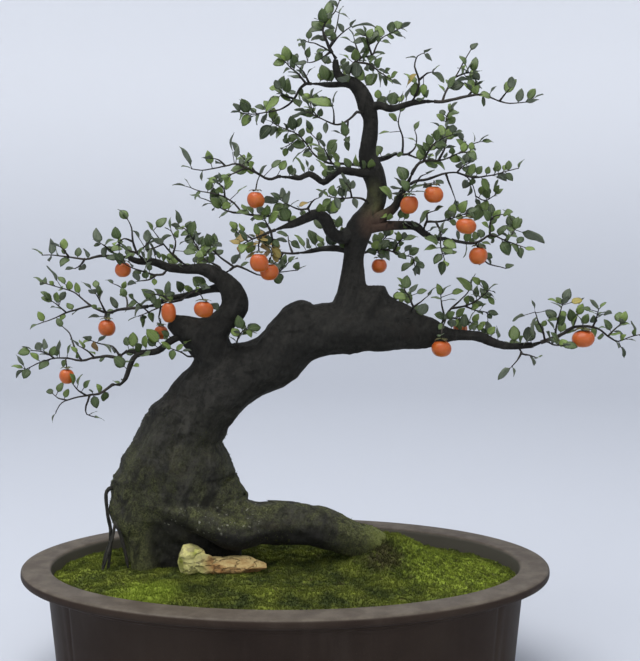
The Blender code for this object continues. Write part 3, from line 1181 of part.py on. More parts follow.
def main():
    """Clears the scene and builds every node."""
    for obj in list(bpy.data.objects):
        bpy.data.objects.remove(obj)
    pot_glaze = material("pot_stoneware", (0.045, 0.036, 0.036), 0.45)
    bark = material("bark", (0.03, 0.028, 0.022), 0.85)
    moss_green = material("moss", (0.09, 0.15, 0.02), 0.95)
    soil_brown = material("soil", (0.05, 0.035, 0.025), 0.95)
    stone = material("rock", (0.45, 0.33, 0.16), 0.8)
    net = material("drain_mesh", (0.02, 0.03, 0.02), 0.5)
    leaf_green = material("leaf", (0.07, 0.12, 0.04), 0.5)
    persimmon = material("persimmon", (0.65, 0.13, 0.02), 0.35)

    wood, sprays, fruits = plan_tree()
    build_pot(pot_glaze)
    build_drain_mesh("drain_mesh_left", -DRAIN_X, net)
    build_drain_mesh("drain_mesh_right", DRAIN_X, net)
    trunk = build_wood(wood, sprays, bark)
    rock = build_rock(stone)
    build_ground(trunk, rock, moss_green, soil_brown)
    for name, spray in sprays.items():
        build_spray(name, spray, leaf_green)
    for name, fruit in fruits.items():
        finish_object(add_object(name, *fruit_mesh(fruit)), persimmon)


main()
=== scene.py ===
"""Looks of a persimmon bonsai in its oval pot, built round the packed model.

It is laid out as an add-on: settings, one operator for each group of like pieces, and a panel.
The tree's plan, in mm, is the one that the solids were made from, so each fine leaf, twig and
fruit stands where its solid stands. Small leaves are then added along the twigs.
"""

import json
import math
import random

import bmesh
import bpy
import numpy as np
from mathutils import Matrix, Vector

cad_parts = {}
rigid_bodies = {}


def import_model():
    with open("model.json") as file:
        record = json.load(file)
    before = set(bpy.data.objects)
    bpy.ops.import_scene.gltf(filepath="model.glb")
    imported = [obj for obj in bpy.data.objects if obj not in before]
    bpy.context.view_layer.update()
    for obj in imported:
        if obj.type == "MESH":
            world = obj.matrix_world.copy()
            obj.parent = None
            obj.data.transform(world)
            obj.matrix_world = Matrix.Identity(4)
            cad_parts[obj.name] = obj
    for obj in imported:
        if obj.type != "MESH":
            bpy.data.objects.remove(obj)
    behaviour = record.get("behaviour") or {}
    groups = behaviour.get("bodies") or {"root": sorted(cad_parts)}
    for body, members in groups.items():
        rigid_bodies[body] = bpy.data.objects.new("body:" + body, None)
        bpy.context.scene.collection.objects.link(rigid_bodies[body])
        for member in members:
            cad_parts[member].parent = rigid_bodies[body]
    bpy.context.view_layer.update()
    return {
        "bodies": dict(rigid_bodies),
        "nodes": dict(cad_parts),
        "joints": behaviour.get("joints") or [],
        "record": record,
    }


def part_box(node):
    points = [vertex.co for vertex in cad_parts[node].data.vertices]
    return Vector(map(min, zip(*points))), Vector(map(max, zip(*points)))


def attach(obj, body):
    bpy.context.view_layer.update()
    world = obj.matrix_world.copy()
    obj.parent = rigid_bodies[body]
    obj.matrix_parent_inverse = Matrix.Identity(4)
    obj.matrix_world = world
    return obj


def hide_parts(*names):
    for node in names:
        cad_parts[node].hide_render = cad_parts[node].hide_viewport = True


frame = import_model()

bl_info = {
    "name": "Persimmon bonsai",
    "version": (1, 0, 0),
    "blender": (4, 5, 0),
    "location": "3D View > Sidebar > Bonsai",
    "description": "Bark, leaves, fruits, pot, moss and stone of a persimmon bonsai",
    "category": "Add Mesh",
}

MM = 0.001
GAP = 0.3
SEED = 27

# Pot, mm
POT_HALF_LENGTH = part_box("pot")[1].x / MM
POT_HALF_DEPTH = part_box("pot")[1].y / MM
POT_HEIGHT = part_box("pot")[1].z / MM
RIM_WIDTH = 39.0
RIM_DROP = 13.0
RIM_OVERHANG = 31.0
BAND_HEIGHT = 15.0
BAND_PROUD = 2.5
BODY_TAPER = 14.0
WALL = 9.0
FLOOR = 12.0
DRAIN_RADIUS = 13.0
DRAIN_X = 125.0
CHANNEL_DEPTH = 4.0
CHANNEL_WIDTH = 34.0
GROOVE_X = 268.0
GROOVE_WIDTH = 7.0

# Ground, mm
MOSS_LEVEL = 150.0
MOSS_EDGE_DROP = 9.0
MOSS_SLOPE = 0.012
MOSS_THICKNESS = 9.0
MOSS_HALF_LENGTH = POT_HALF_LENGTH - RIM_OVERHANG - WALL - 2.0 * GAP
MOSS_HALF_DEPTH = POT_HALF_DEPTH - RIM_OVERHANG - WALL - 2.0 * GAP
MOSS_ROWS = 150
MOSS_COLUMNS = 400
SPRIG_LEAN = 0.22
MOUNDS = [(138.0, 20.0, 40.0, 42.0, 38.0),       # x, y, height, spread along x and along y
          (-150.0, 45.0, 7.0, 120.0, 80.0)]
TALL_SPOTS = [(-165.0, -105.0, 36.0, 0.7),       # x, y, reach, how much taller the sprigs stand
              (150.0, -10.0, 60.0, 0.35)]
ROCK_LUMPS = [((-124, 161, -29), (17.0, 12.0, 20.0), 40),     # seen x, z and depth, half sizes, seed
              ((-76, 154, -29), (49.0, 13.0, 12.0), 41),
              ((-107, 157, -33), (17.0, 9.0, 14.0), 45)]
ROCK_PLANES = 18
ROCK_VOXEL = 0.9

# Wood, mm
WOOD_SPACING = 27.0
LIMB_SPACING = 22.0
FINE_SPACING = 5.0
COARSE_SIDES = 6             # limbs with more sides are read at the wider spacing
THICK_SIDES = 8              # limbs with at least this many sides are one grown trunk
TRUNK_SIDES = 26
TRUNK_VOXEL = 2.4
LIMB_END = 14.0              # a limb thins over this length before its end
AERIAL_SHARE = 0.7           # the aerial roots are thinner than their solids
TRUNK_EDGES = (              # side, how far the shift reaches in, heights, the edge's x at each
    (1, 45, (238, 245, 256, 270, 279, 289, 300, 308, 319, 327),
     (-51, -54, -59, -64, -68, -72, -76, -80, -84, -79)),
    (-1, 35, (139, 160, 176, 191, 202, 212, 223, 243, 255, 269, 273, 281, 294, 308, 314, 327, 346,
      365, 379),
     (-215, -217, -218, -221, -226, -230, -233, -233, -235, -231, -227, -222, -219, -209, -205,
      -199, -191, -178, -163)),
)
SHOULDER_SLOPE = [(106, 498, -4, 20), (124, 495, -4, 19), (142, 483, -4, 16)]
ROOT_STRANDS = [[(-222, 212, -10, 2.6), (-214, 186, -14, 2.4), (-207, 148, -18, 2.2)],
                [(-223, 214, -8, 2.2), (-229, 188, -16, 2.0), (-240, 150, -20, 1.8)]]

# Twigs, mm
TWIG_TIP = 0.95
TWIG_MAX = 1.7
TWIG_CLEAR = 1.2
TWIG_SPACING = 21.0
TWIG_ROOM = 0.6              # room that the other sprays leave round a twig
TWIG_CROOK = 0.7
TWIG_SHARES = (0.95, 0.62)   # how thin a twig is made beside its solid, at its start and its end
STALK_SHARE = 0.6
STALK_RADII = (1.15, 1.4)
BENDS = (0, 9, -9, 18, -18, 27, -27, 38, -38)
STUB_CLEAR = 2.5
STUB_GAP = 0.4
CALYX_THICKNESS = 1.4
CALYX_SHARE = 0.36           # a calyx's radius, as a share of its fruit's width

# Leaves, mm
LEAF_LENGTH = 18.0
LEAF_WIDTH_RATIO = 0.62
LEAF_NECK_MAX = 15.0
LEAFY_TWIG = 8.0             # marked leaves grow from twigs that are longer than this
DEPTH_STEPS = (0.0, 8.0, -8.0, 16.0, -16.0)      # tried in turn for a marked leaf
LEAF_CLEAR = 0.6
LEAF_APART = 0.2
SMALL_CLEAR = 0.3
SMALL_OVERLAP = 1.2          # small leaves may overlap others this much
SMALL_TRIES = 4
LEAF_CLUSTER = 34.0          # size of the clusters that the small leaves stand in
THIN_SPRAYS = {"spray_left": 2.1, "spray_right_end": 1.5, "spray_right_branch": 1.4}
LEAFY_RADIUS = 9.5           # limbs up to this radius carry small leaves
LEAFY_SHOULDER = "old_stub_shoulder"
BARE_LIMBS = ("left_foot", "right_root", "lip", "back_root_right", "back_root_left", "aerial_root",
              "aerial_root_fork", "crown_knob", "crotch_knob", "head_stub", "old_stub")
DRY_CLUMP = (-35.0, 569.0, 33.0, 19.0)           # x, z and half sizes of the clump of dry leaves

# Looks: the moss on the branches and the hollow of the root in mm, the other places in m
STREAK_LEAN = 0.35           # turn of the bark's streaks, radians
BARE_HEIGHT = 160.0
# The hollow of the root, where the bark is darkened as painted shade and kept free of moss
HOLLOW_X = -143.0
HOLLOW_Z = 188.0
HOLLOW_FLATNESS = 0.82
HOLLOW_EDGE = (28.0, 46.0)
WORN_FORK = (0.120, -0.02, 0.604)
MOSSY_FORK = (0.112, -0.022, 0.636)
BRIGHT_FRONT = (-0.170, -0.105, 0.163)
BRIGHT_RIGHT = (0.225, -0.01, 0.155)
BARE_MOUND = (0.128, -0.018, 0.170)

# Stage, m: a flat floor that bends up into a round wall
STAGE_FLOOR = 2.6
STAGE_BEND = 1.6
STAGE_TOP = 5.0
STAGE_SIDES = 96
STAGE_LIGHTS = [             # name, place, target, size, power
    ("overhead", (-0.7, -0.9, 3.4), (0.0, 0.0, 0.5), 3.0, 110.0),
    ("front_fill", (1.2, -3.2, 1.6), (0.0, 0.0, 0.5), 1.8, 18.0),
]

# A branch is given as it is seen from the front on the middle plane y = 0. Taken to its own
# depth, a point moves along the line of sight from this viewing point, mm.
VIEW_X = 45.0
VIEW_Z = 614.0
VIEW_DISTANCE = 1500.0

# The readings are rows of text: a name, a colon and points, split by commas. A row goes on in the
# next line after a comma.

# Grown wood: a limb's name and sides, then x, z, depth y, radius and, where the limb isn't round,
# the depth of its section over its breadth, from its foot outwards
WOOD = """
trunk 12: -150 96 48 60 0.7, -148 130 46 74 0.65, -144 165 42 84 0.62, -140 205 38 90 0.62,
-140 238 32 93 0.66, -146 273 26 82 0.75, -141 310 22 67 0.88, -128 338 18 54 0.95, -112 366 14 46,
-87 391 12 44, -52 411 10 40, -15 427 8 36, 15 457 6 37, 50 468 4 34, 90 469 0 31, 130 470 -4 30,
160 466 -8 25, 188 462 -12 20, 205 460 -14 12, 220 460 -16 7.5, 250 458 -18 6.5, 264 452 -19 6,
279 447 -20 5.5, 293 445 -21 5, 307 446 -22 4.6, 321 447 -23 4.2
upright 10: 80 462 2 33, 86 500 4 24, 87 530 5 17.5, 88 560 4 13.5, 92 582 3 15, 97 600 2 17.5,
108 616 3 14, 116 632 5 12.5, 117 650 6 12.5, 111 670 7 14.3, 105 690 6 12, 108 714 4 10.6, 109 735 2 10,
103 752 0 10.5, 97 768 -1 9.5, 85 781 -1 8, 70 787 0 6, 65 800 0 5, 65 810 0 4
side_trunk 9: -88 408 8 30, -92 436 2 24, -98 458 0 25, -80 477 -2 16, -64 497 -4 17, -68 516 -5 15,
-80 531 -6 11.5, -98 542 -8 9.5, -112 545 -10 7, -129 545 -13 6.2, -149 547 -17 5.6, -168 554 -20 5,
-188 555 -22 4.4, -202 560 -24 3.6
left_foot 9: -182 258 26 52, -190 225 16 42, -189 190 10 32, -187 158 8 28, -188 120 12 22
right_root 9: -110 232 20 40, -62 217 8 29, -30 212 2 28, 2 212 0 27, 42 208 4 27, 82 193 10 24,
118 180 16 21, 148 162 22 15, 172 140 28 10
lip 8: -176 240 -4 20, -152 232 -16 17, -124 222 -22 16, -96 208 -24 18, -66 198 -20 22, -36 204 -10 20
back_root_right 8: -110 210 66 40, -80 180 96 28, -52 160 122 20, -30 140 142 12
back_root_left 8: -170 220 60 38, -190 186 76 30, -196 164 82 26, -200 146 84 22
aerial_root 6: -218 262 10 5, -234 254 2 3.8, -234 228 -4 3.2, -230 202 -6 3.4, -231 176 -8 3.2,
-234 150 -12 3, -235 128 -12 2.8
aerial_root_fork 5: -230 190 -7 3.2, -238 166 -12 2.8, -244 130 -16 2.6
crown_knob 9: 2 452 6 28, 10 470 2 25, 22 477 0 27, 40 477 0 22
old_stub 8: 100 476 0 30, 110 498 -4 25, 116 512 -6 17, 117 523 -6 11
old_stub_shoulder 8: 124 478 -4 28, 146 478 -8 24, 170 470 -10 19
head_stub 8: -104 455 0 26, -124 466 -6 19, -138 473 -10 14, -148 479 -12 9
crotch_knob 8: -100 398 12 30, -98 416 8 22, -94 432 4 18
spur 5: -82 530 -6 6, -84 547 -6 2.5
left_tier_2 6: -72 522 -2 8, -92 520 6 5, -116 514 14 4.4, -130 510 18 4, -149 507 23 3.9, -169 498 28 3.4
left_tier_3 6: -112 452 -4 7, -134 457 -14 4.8, -151 450 -19 4.6, -165 439 -22 4.8, -185 437 -26 4,
-204 439 -30 3.2
left_tier_4 6: -178 438 -25 3.8, -193 433 -30 3.6, -201 420 -34 3.4, -207 403 -38 3.2, -214 395 -41 3
middle_front 7: 90 592 2 11, 72 586 -8 9, 60 592 -16 8, 52 608 -24 7.5, 40 615 -32 6.5, 28 610 -40 5.4,
12 603 -48 4.4, -4 598 -54 3.4
middle_back 6: 90 568 8 8, 70 571 20 5, 50 571 32 4, 24 566 46 3.2
high_left 6: 112 668 2 8, 100 667 -6 5.6, 85 669 -12 5, 70 670 -18 4.7, 60 663 -22 4.5, 50 655 -26 4.2,
41 661 -29 3.8, 31 666 -32 3.5, 20 661 -36 3.2, 2 662 -42 3
top_left 6: 92 776 -2 7, 78 779 4 4.2, 61 778 10 3.6, 41 779 18 3
right_tier_2 6: 106 748 0 8, 120 752 -6 5, 135 748 -11 4.6, 150 752 -16 4.3, 167 756 -21 3.8,
181 757 -25 3.4
right_tier_3 6: 108 684 8 9, 119 684 18 4.2, 130 687 28 3.7, 141 691 36 3.2
right_fan 6: 106 606 0 12, 124 612 -6 8.4, 140 624 -12 6, 149 642 -18 4.4, 158 657 -22 4
right_tier_5 6: 100 600 2 13, 122 600 -4 8, 144 601 -12 6.6, 166 600 -20 5.8, 178 591 -25 5.2,
190 584 -30 4.6, 204 584 -34 4
buried_root_right 5: -128 128 40 34, -60 98 30 19, 40 70 4 8
buried_root_back 5: -140 124 60 34, -110 98 90 19, -66 76 110 9
buried_root_left 5: -170 124 44 30, -206 98 40 17, -240 76 30 9
"""

# Fruits: a name and the spray that it hangs on, then x, z, depth y, width and height
FRUITS = """
fruit_01 spray_high_left: -37 633 -66 21 21
fruit_02 spray_middle_front: -33 553 -76 23 23
fruit_03 spray_middle_front: -20 541 -50 23 21
fruit_04 spray_left_1_low: -208 544 -42 20 19
fruit_05 spray_left_2_inner: -150 489 -36 19 26
fruit_06 spray_left_2_inner: -105 493 -44 24 21
fruit_07 spray_left_2_inner: -160 463 2 18 18
fruit_08 spray_left_2: -230 469 18 23 22
fruit_09 spray_left_3: -283 406 -66 19 19
fruit_10 spray_right_fan_low: 159 627 -44 23 23
fruit_11 spray_right_fan_low: 190 640 -54 24 21
fruit_12 spray_right_5_inner: 232 600 -62 25 20
fruit_13 spray_right_5: 248 562 -52 23 22
fruit_14 spray_right_inner: 121 549 20 20 19
fruit_15 spray_right_branch_mid: 226 468 14 19 20
fruit_16 spray_right_branch_mid: 202 442 -48 25 21
fruit_17 spray_right_end: 385 455 -46 29 22
"""

# Sprays: a name, the first radius and the stem as x, z and depth y from the wood outwards. Then
# its twigs, of which the first point may be the number of a stem point, and the single leaves
# that the photo shows, as x, z and length. More leaves follow a rule.
SPRAYS = """
spray_left_1 2.6: -202 560 -24, -216 561 -28, -238 562 -34, -256 558 -38, -277 560 -44, -293 562 -48,
-312 563 -52
twig: -214 561 -28, -227 571 -20, -238 578 -12
twig: 3, -262 549 -26, -270 545 -16
twig: 4, -284 570 -56, -290 574 -66
leaves: -299 574 20, -283 577 15, -265 567 13, -254 566 14, -240 588 19, -317 568 15, -226 580 15,
-216 571 15, -232 567 14
spray_left_1_up 2.3: -180 555 -21, -190 566 -26, -195 580 -32, -196 597 -38, -202 611 -42
twig: 1, -203 570 -18, -214 576 -8
twig: 1, -180 574 -42, -170 584 -54
twig: 2, -206 584 -48, -214 580 -60
leaves: -205 572 17, -186 566 17, -176 588 16, -168 580 15, -200 563 16, -212 558 16, -190 590 15,
-180 560 15
spray_left_1_inner 2.2: -120 546 -12, -132 553 -20, -144 564 -30, -156 577 -40, -169 595 -50
twig: 2, -140 580 -26, -146 596 -22
twig: 3, -168 572 -50, -178 570 -60
leaves: -158 605 17, -147 604 15, -166 582 15, -122 567 17, -172 566 15, -152 586 14
spray_left_1_low 2.1: -149 546 -17, -157 538 -24, -168 538 -30, -182 542 -36, -200 548 -42, -212 556 -46
twig: 2, -178 531 -44, -190 529 -54
leaves: -222 560 15, -190 532 15, -197 527 14, -176 550 14
spray_neck_left 2.0: -74 524 -8, -84 547 14, -96 553 20, -106 560 26, -113 578 34
twig: 3, -117 582 44, -127 595 52, -136 600 58
twig: 2, -90 566 30, -92 577 38
leaves: -91 580 17, -113 588 15, -140 601 14, -126 590 14, -104 572 15
spray_neck_right 2.1: -72 520 -5, -75 541 4, -61 549 6, -49 544 8, -31 537 12, -5 541 16, 17 543 20
twig: 2, -80 561 0, -94 571 -4, -104 561 -6
twig: 5, 2 549 24, 8 556 32
leaves: -64 558 15, -96 566 15, 22 547 12, 8 558 12, -52 552 13
spray_left_2 2.8: -169 498 28, -189 495 34, -211 493 40, -231 489 46, -250 498 52, -262 508 58,
-272 515 62, -290 521 70, -312 528 78
twig: 4, -266 494 44, -282 489 36, -300 481 28, -318 474 22
twig: -204 494 38, -204 505 50, -210 520 62, -222 527 72
twig: 3, -238 504 36, -244 514 26
twig: -282 489 36, -292 498 26, -302 505 18
twig: 3, -232 481 32, -230 480 20
leaves: -299 540 24, -287 531 15, -321 526 17, -240 516 17, -255 525 16, -243 526 14, -221 503 16,
-246 484 17, -286 511 14, -307 507 16, -292 507 14, -315 484 15, -267 521 15, -228 533 15, -208 515 14
spray_left_2_inner 2.2: -126 511 17, -134 505 6, -146 502 -4, -160 496 -12, -176 489 -18, -190 484 -22
twig: 2, -158 510 -14, -172 513 -24
twig: 1, -121 514 -18, -107 521 -40
twig: 3, -162 484 -2, -161 475 3
twig: 4, -186 498 -28, -194 506 -36
leaves: -190 492 16, -180 503 16, -165 497 15, -172 483 15, -195 482 15, -160 514 15, -184 476 13,
-92 497 21, -170 506 15, -196 500 15, -150 512 14
spray_left_3 2.6: -204 439 -30, -218 430 -35, -230 432 -40, -246 430 -45, -264 427 -50, -282 430 -55,
-299 429 -60, -317 424 -64, -338 415 -68
twig: -211 434 -33, -222 446 -26, -238 449 -20, -252 453 -14
twig: 4, -272 442 -42, -279 462 -34, -288 471 -28
twig: 6, -312 438 -68, -328 440 -74
twig: 3, -256 440 -58, -268 446 -68
leaves: -343 427 17, -347 419 14, -311 438 15, -311 448 14, -292 446 15, -280 441 15, -262 446 15,
-246 446 15, -230 444 15, -252 438 14, -236 456 14, -272 451 14, -222 441 14, -301 438 14
spray_left_4 2.4: -214 395 -41, -224 395 -45, -233 388 -49, -242 383 -53, -258 381 -58, -274 378 -62,
-290 372 -66, -298 359 -69
twig: -284 375 -64, -296 378 -58, -303 385 -52
twig: 4, -268 388 -68, -275 396 -76
twig: -254 381 -57, -259 366 -50, -258 356 -46, -246 352 -42
leaves: -292 392 14, -267 402 15, -252 409 15, -247 372 16, -244 352 15, -241 389 13, -306 386 12,
-302 352 13, -258 396 13, -284 384 12
spray_head 1.6: -112 432 0, -126 432 -24, -136 438 -34, -148 442 -42
leaves: -136 444 12, -146 434 13, -127 440 11
spray_crotch 1.5: -66 425 8, -62 452 -24, -57 462 -30, -48 470 -34
leaves: -63 464 12, -46 462 12, -54 470 12
spray_middle_front 2.6: -4 598 -54, -18 593 -58, -30 588 -62, -42 583 -66, -56 576 -70
twig: 1, -24 604 -66, -28 615 -72
twig: 2, -34 576 -72, -34 568 -78
twig: 1, -16 578 -54, -19 558 -50
twig: 3, -52 590 -56, -62 592 -48
leaves: -25 613 17, -52 577 20, -58 567 17, -40 574 20, -46 562 16, -14 571 18, -4 582 15, -64 580 15,
-26 578 17, -36 596 15
spray_middle_front_up 2.0: 34 613 -36, 30 622 -44, 18 621 -52, 4 627 -58, -6 634 -62
twig: 1, 36 632 -36, 44 636 -28
leaves: -18 633 27, 12 630 13, 36 583 24, 48 642 14, 24 628 13
spray_middle_back 2.2: 24 566 46, 10 565 56, -2 566 64, -14 570 72, -28 578 80
twig: 1, 6 576 70, 4 588 84
twig: 2, -8 556 78, -16 550 90
leaves: 14 576 16, -2 590 16, -10 560 15, -24 586 16, -36 590 15
spray_upright_front 1.9: 112 626 4, 100 634 -20, 86 636 -30, 70 635 -38, 54 638 -46
twig: 2, 84 646 -40, 78 654 -48
leaves: 52 640 18, 66 632 16, 79 643 15, 90 629 14, 72 651 13, 60 646 13
spray_high_left 2.4: 2 662 -42, -8 663 -46, -16 660 -50, -25 661 -54, -37 668 -58, -50 674 -63,
-62 679 -68, -75 676 -73, -90 673 -78, -106 671 -84, -119 673 -88
twig: 4, -48 682 -52, -60 694 -46
twig: 7, -84 684 -84, -94 686 -92
twig: 5, -62 668 -76, -72 664 -86
leaves: -126 689 26, -96 687 17, -84 681 15, -60 694 15, -68 705 24, -47 685 14, -11 679 15, -2 677 14,
-28 672 14, -106 664 13, -74 662 15
spray_high_left_up 2.3: 112 676 6, 94 677 22, 78 679 30, 60 679 36, 45 685 42, 36 692 46, 26 706 50,
14 717 54, -3 724 58, -16 731 62
twig: 4, 44 698 54, 42 708 64, 33 717 74
twig: 7, 10 706 66, 0 700 76
twig: 3, 54 690 24, 50 700 14
leaves: 15 688 17, 61 688 15, -25 719 24, 6 729 15, 18 731 15, 31 728 14, 44 714 14, 2 712 14,
-12 737 14, 28 694 14
spray_far_left 2.1: 12 603 -48, -8 612 -42, -34 613 -36, -53 617 -30, -64 628 -24, -76 636 -18,
-92 641 -12, -106 644 -6, -120 649 0
twig: 3, -66 617 -18, -80 622 -6, -94 631 4, -108 636 12
twig: 5, -78 648 -28, -86 656 -38
leaves: -134 652 18, -96 652 15, -84 646 14, -55 647 15, -68 626 15, -112 640 13, -88 660 13, -100 628 13
spray_top_left 2.4: 41 779 18, 28 779 24, 19 772 30, 12 760 36, 2 751 42, -10 746 48, -24 743 54,
-41 741 60, -56 743 66
twig: 1, 18 791 16, 8 799 8, 2 806 2
twig: 34 779 22, 26 793 32, 15 803 42
twig: 3, 0 765 26, -7 773 18
leaves: -16 754 27, -50 755 18, -43 737 14, -31 750 14, -9 778 15, -7 813 14, 4 816 14, 14 811 14,
-62 744 13, 22 768 13
spray_top_left_low 2.2: 108 742 1, 92 744 -14, 80 733 -22, 68 728 -28, 56 731 -34, 42 738 -40, 30 744 -46
twig: 62 729 -31, 63 742 -40, 60 752 -48
twig: 2, 80 722 -32, 78 712 -40
twig: 5, 34 750 -32, 34 762 -26
leaves: 48 756 34, 78 714 20, 80 702 14, 33 748 14, 34 766 15, 63 763 15, 20 747 14, 52 724 14, 66 719 13
spray_apex 2.6: 65 810 0, 60 818 -2, 54 830 -5, 49 846 -8, 54 858 -8, 63 868 -8, 70 882 -8
twig: 57 824 -3, 62 836 6, 66 850 14, 69 866 20
twig: 1, 50 822 -16, 40 828 -26, 26 832 -34
twig: 65 812 0, 52 806 12, 38 804 24, 28 806 34
twig: 57 824 -3, 68 838 -14, 84 850 -22
leaves: 76 864 15, 62 879 14, 18 845 19, 38 846 16, 24 828 18, 30 818 14, 43 813 14, 100 852 30,
72 847 14, 40 836 14, 58 850 13, 44 858 14
spray_apex_right 2.4: 80 783 -1, 84 800 10, 97 811 18, 110 814 24, 116 826 30, 126 838 36, 148 848 44
twig: 2, 92 824 28, 88 836 36
twig: 90 806 14, 104 804 2, 118 795 -8, 134 784 -16
twig: 3, 106 828 14, 102 840 6
leaves: 142 781 14, 127 784 15, 84 822 17, 94 832 17, 104 822 16, 78 835 16, 112 836 16, 96 843 15,
126 795 15, 140 842 14, 120 818 14, 76 814 14, 110 800 13
spray_right_2 2.7: 181 757 -25, 200 757 -30, 218 761 -35, 233 764 -40, 247 766 -44, 260 763 -48,
272 758 -52, 285 755 -56, 307 756 -62
twig: 1, 205 771 -20, 216 787 -10, 226 806 0, 236 822 8
twig: 216 787 -10, 229 792 -20, 240 792 -30
twig: 6, 280 768 -60, 286 774 -68
twig: 3, 240 774 -30, 242 784 -20
leaves: 286 777 22, 298 765 17, 313 767 16, 322 764 14, 263 771 15, 233 776 15, 211 781 19, 226 797 15,
226 809 14, 240 826 18, 241 790 14, 247 780 13, 252 757 13
spray_right_2_up 2.1: 160 754 -19, 168 768 -26, 170 784 -32, 165 800 -38, 168 813 -42, 177 818 -46
twig: 2, 180 792 -44, 188 794 -52
leaves: 160 785 21, 190 792 20, 176 772 14, 160 812 13, 182 812 13
spray_right_3 2.1: 141 691 36, 156 691 44, 166 699 52, 168 712 58, 165 722 64
twig: 1, 170 686 56, 184 688 68
twig: 141 692 37, 144 712 46, 141 730 54, 147 746 62
leaves: 168 728 15, 160 711 15, 176 694 15, 127 718 17, 150 750 14, 190 682 14, 138 738 14
spray_right_fan 2.6: 158 657 -22, 164 670 -24, 172 680 -26, 184 683 -28, 196 683 -30, 208 686 -32,
222 692 -34, 236 694 -36
twig: 176 682 -27, 184 697 -36, 192 706 -44, 203 712 -50, 214 716 -56
twig: 4, 204 700 -18, 206 720 -8, 204 736 0, 209 745 6
twig: 6, 234 702 -26, 248 707 -20
leaves: 200 712 16, 193 728 16, 222 716 18, 224 705 15, 237 732 17, 211 700 14, 228 700 14, 241 708 14,
258 707 15, 238 690 15, 206 728 14, 180 700 14, 214 752 13
spray_right_fan_low 2.2: 146 636 -16, 154 645 -32, 164 651 -42, 178 653 -50, 192 656 -56
twig: 1, 158 643 -42, 159 642 -46
twig: 2, 172 662 -52, 182 666 -60
leaves: 154 652 17, 168 650 17, 182 652 17, 198 656 16, 142 648 15, 174 644 14
spray_right_4 2.4: 154 650 -20, 168 657 -8, 182 659 -2, 193 663 4, 205 667 10, 220 668 16, 234 660 22,
241 648 28, 244 634 34
twig: 5, 240 662 10, 260 664 4, 277 668 0, 298 673 -4
twig: 5, 228 676 28, 236 680 40
twig: 243 638 32, 256 632 24, 270 640 14
twig: 4, 212 650 20, 218 632 28
leaves: 237 653 20, 271 676 15, 285 677 14, 269 652 15, 248 618 25, 264 622 15, 284 612 14, 224 624 14,
211 616 14, 300 678 14, 240 684 14, 274 644 13, 258 645 14
spray_right_5 2.7: 204 584 -34, 218 581 -38, 232 578 -42, 244 579 -46, 255 584 -50, 264 589 -53,
281 582 -58, 296 577 -62, 308 572 -66
twig: 262 588 -53, 262 601 -62, 266 611 -70, 279 615 -78
twig: 3, 252 568 -34, 258 554 -24, 270 549 -16, 284 546 -8
twig: 6, 292 590 -48, 296 600 -40
leaves: 264 621 15, 284 616 15, 280 589 14, 295 599 17, 319 587 30, 232 567 15, 288 546 13, 222 588 13,
262 556 13, 302 566 14
spray_right_5_inner 2.1: 176 592 -24, 181 605 -36, 192 606 -44, 206 607 -50, 220 612 -56, 232 616 -60
twig: 1, 182 616 -46, 192 620 -56
twig: 2, 198 592 -52, 200 572 -60, 205 556 -66
leaves: 187 572 17, 174 580 16, 200 596 15, 202 546 19, 196 622 13, 240 620 14, 214 614 13, 210 566 13
spray_right_inner 2.1: 88 563 4, 106 567 26, 120 570 34, 139 567 42, 152 563 50, 164 560 58, 167 548 64
twig: 2, 124 580 46, 132 588 56
twig: 2, 120 566 24, 121 564 20
twig: 3, 146 578 32, 152 584 24
leaves: 106 579 14, 118 582 14, 131 593 14, 146 586 14, 158 572 13, 168 542 14, 140 575 13
spray_right_branch_in 2.0: 158 478 -8, 165 496 -28, 174 502 -34, 184 510 -40
twig: 1, 160 508 -38, 152 520 -46
leaves: 150 528 15, 166 520 15, 188 517 15, 176 516 14, 158 514 13
spray_right_branch_mid 2.3: 196 464 -12, 206 482 2, 214 494 8, 224 504 14, 234 514 20, 240 526 26
twig: 1, 220 481 14, 242 475 26, 256 464 36
twig: 2, 232 497 0, 248 505 -8, 262 518 -16
twig: 1, 202 498 -8, 200 512 -18
twig: 1, 207 480 -26, 203 470 -42, 202 460 -48
twig: 232 497 0, 246 492 -8, 262 489 -16
leaves: 231 526 26, 257 524 17, 264 512 15, 266 504 14, 264 489 16, 262 470 17, 240 484 14, 222 516 16,
206 520 15, 196 508 15, 214 506 14, 250 510 14, 240 505 14, 246 530 14
spray_right_end_low 2.0: 300 446 -21, 306 437 -28, 300 427 -34, 293 418 -38
twig: 1, 316 434 -38, 326 430 -46
leaves: 283 409 21, 318 431 14, 296 412 13
spray_right_end 3.2: 321 447 -23, 336 452 -26, 349 457 -29, 361 463 -32, 371 469 -35, 384 471 -38,
397 470 -42, 408 466 -46, 417 458 -50, 430 451 -54, 445 457 -58, 462 461 -62
twig: 1, 332 466 -18, 326 480 -10, 322 490 -4
twig: 2, 350 472 -38, 354 487 -46, 358 500 -52
twig: 6, 402 482 -50, 404 494 -56
twig: 4, 376 484 -26, 378 498 -18
twig: 1, 348 447 -36, 360 446 -44
twig: 8, 426 468 -42, 434 476 -36
leaves: 321 496 16, 321 474 27, 300 483 17, 338 491 14, 353 497 15, 363 512 17, 376 504 15, 380 482 14,
399 500 16, 407 488 14, 416 488 14, 430 463 16, 434 476 14, 437 437 16, 450 470 17, 466 470 16,
346 505 14, 366 444 13, 345 480 13, 388 494 13
"""


# Plan: places, paths and leaves, all in mm

def read_rows(text):
    """The rows of the readings: each row's words before its colon, and its points."""
    for row in text.replace(",\n", ", ").strip().splitlines():
        words, numbers = row.split(":")
        yield words.split(), [[float(number) for number in point.split()]
                              for point in numbers.split(",")]


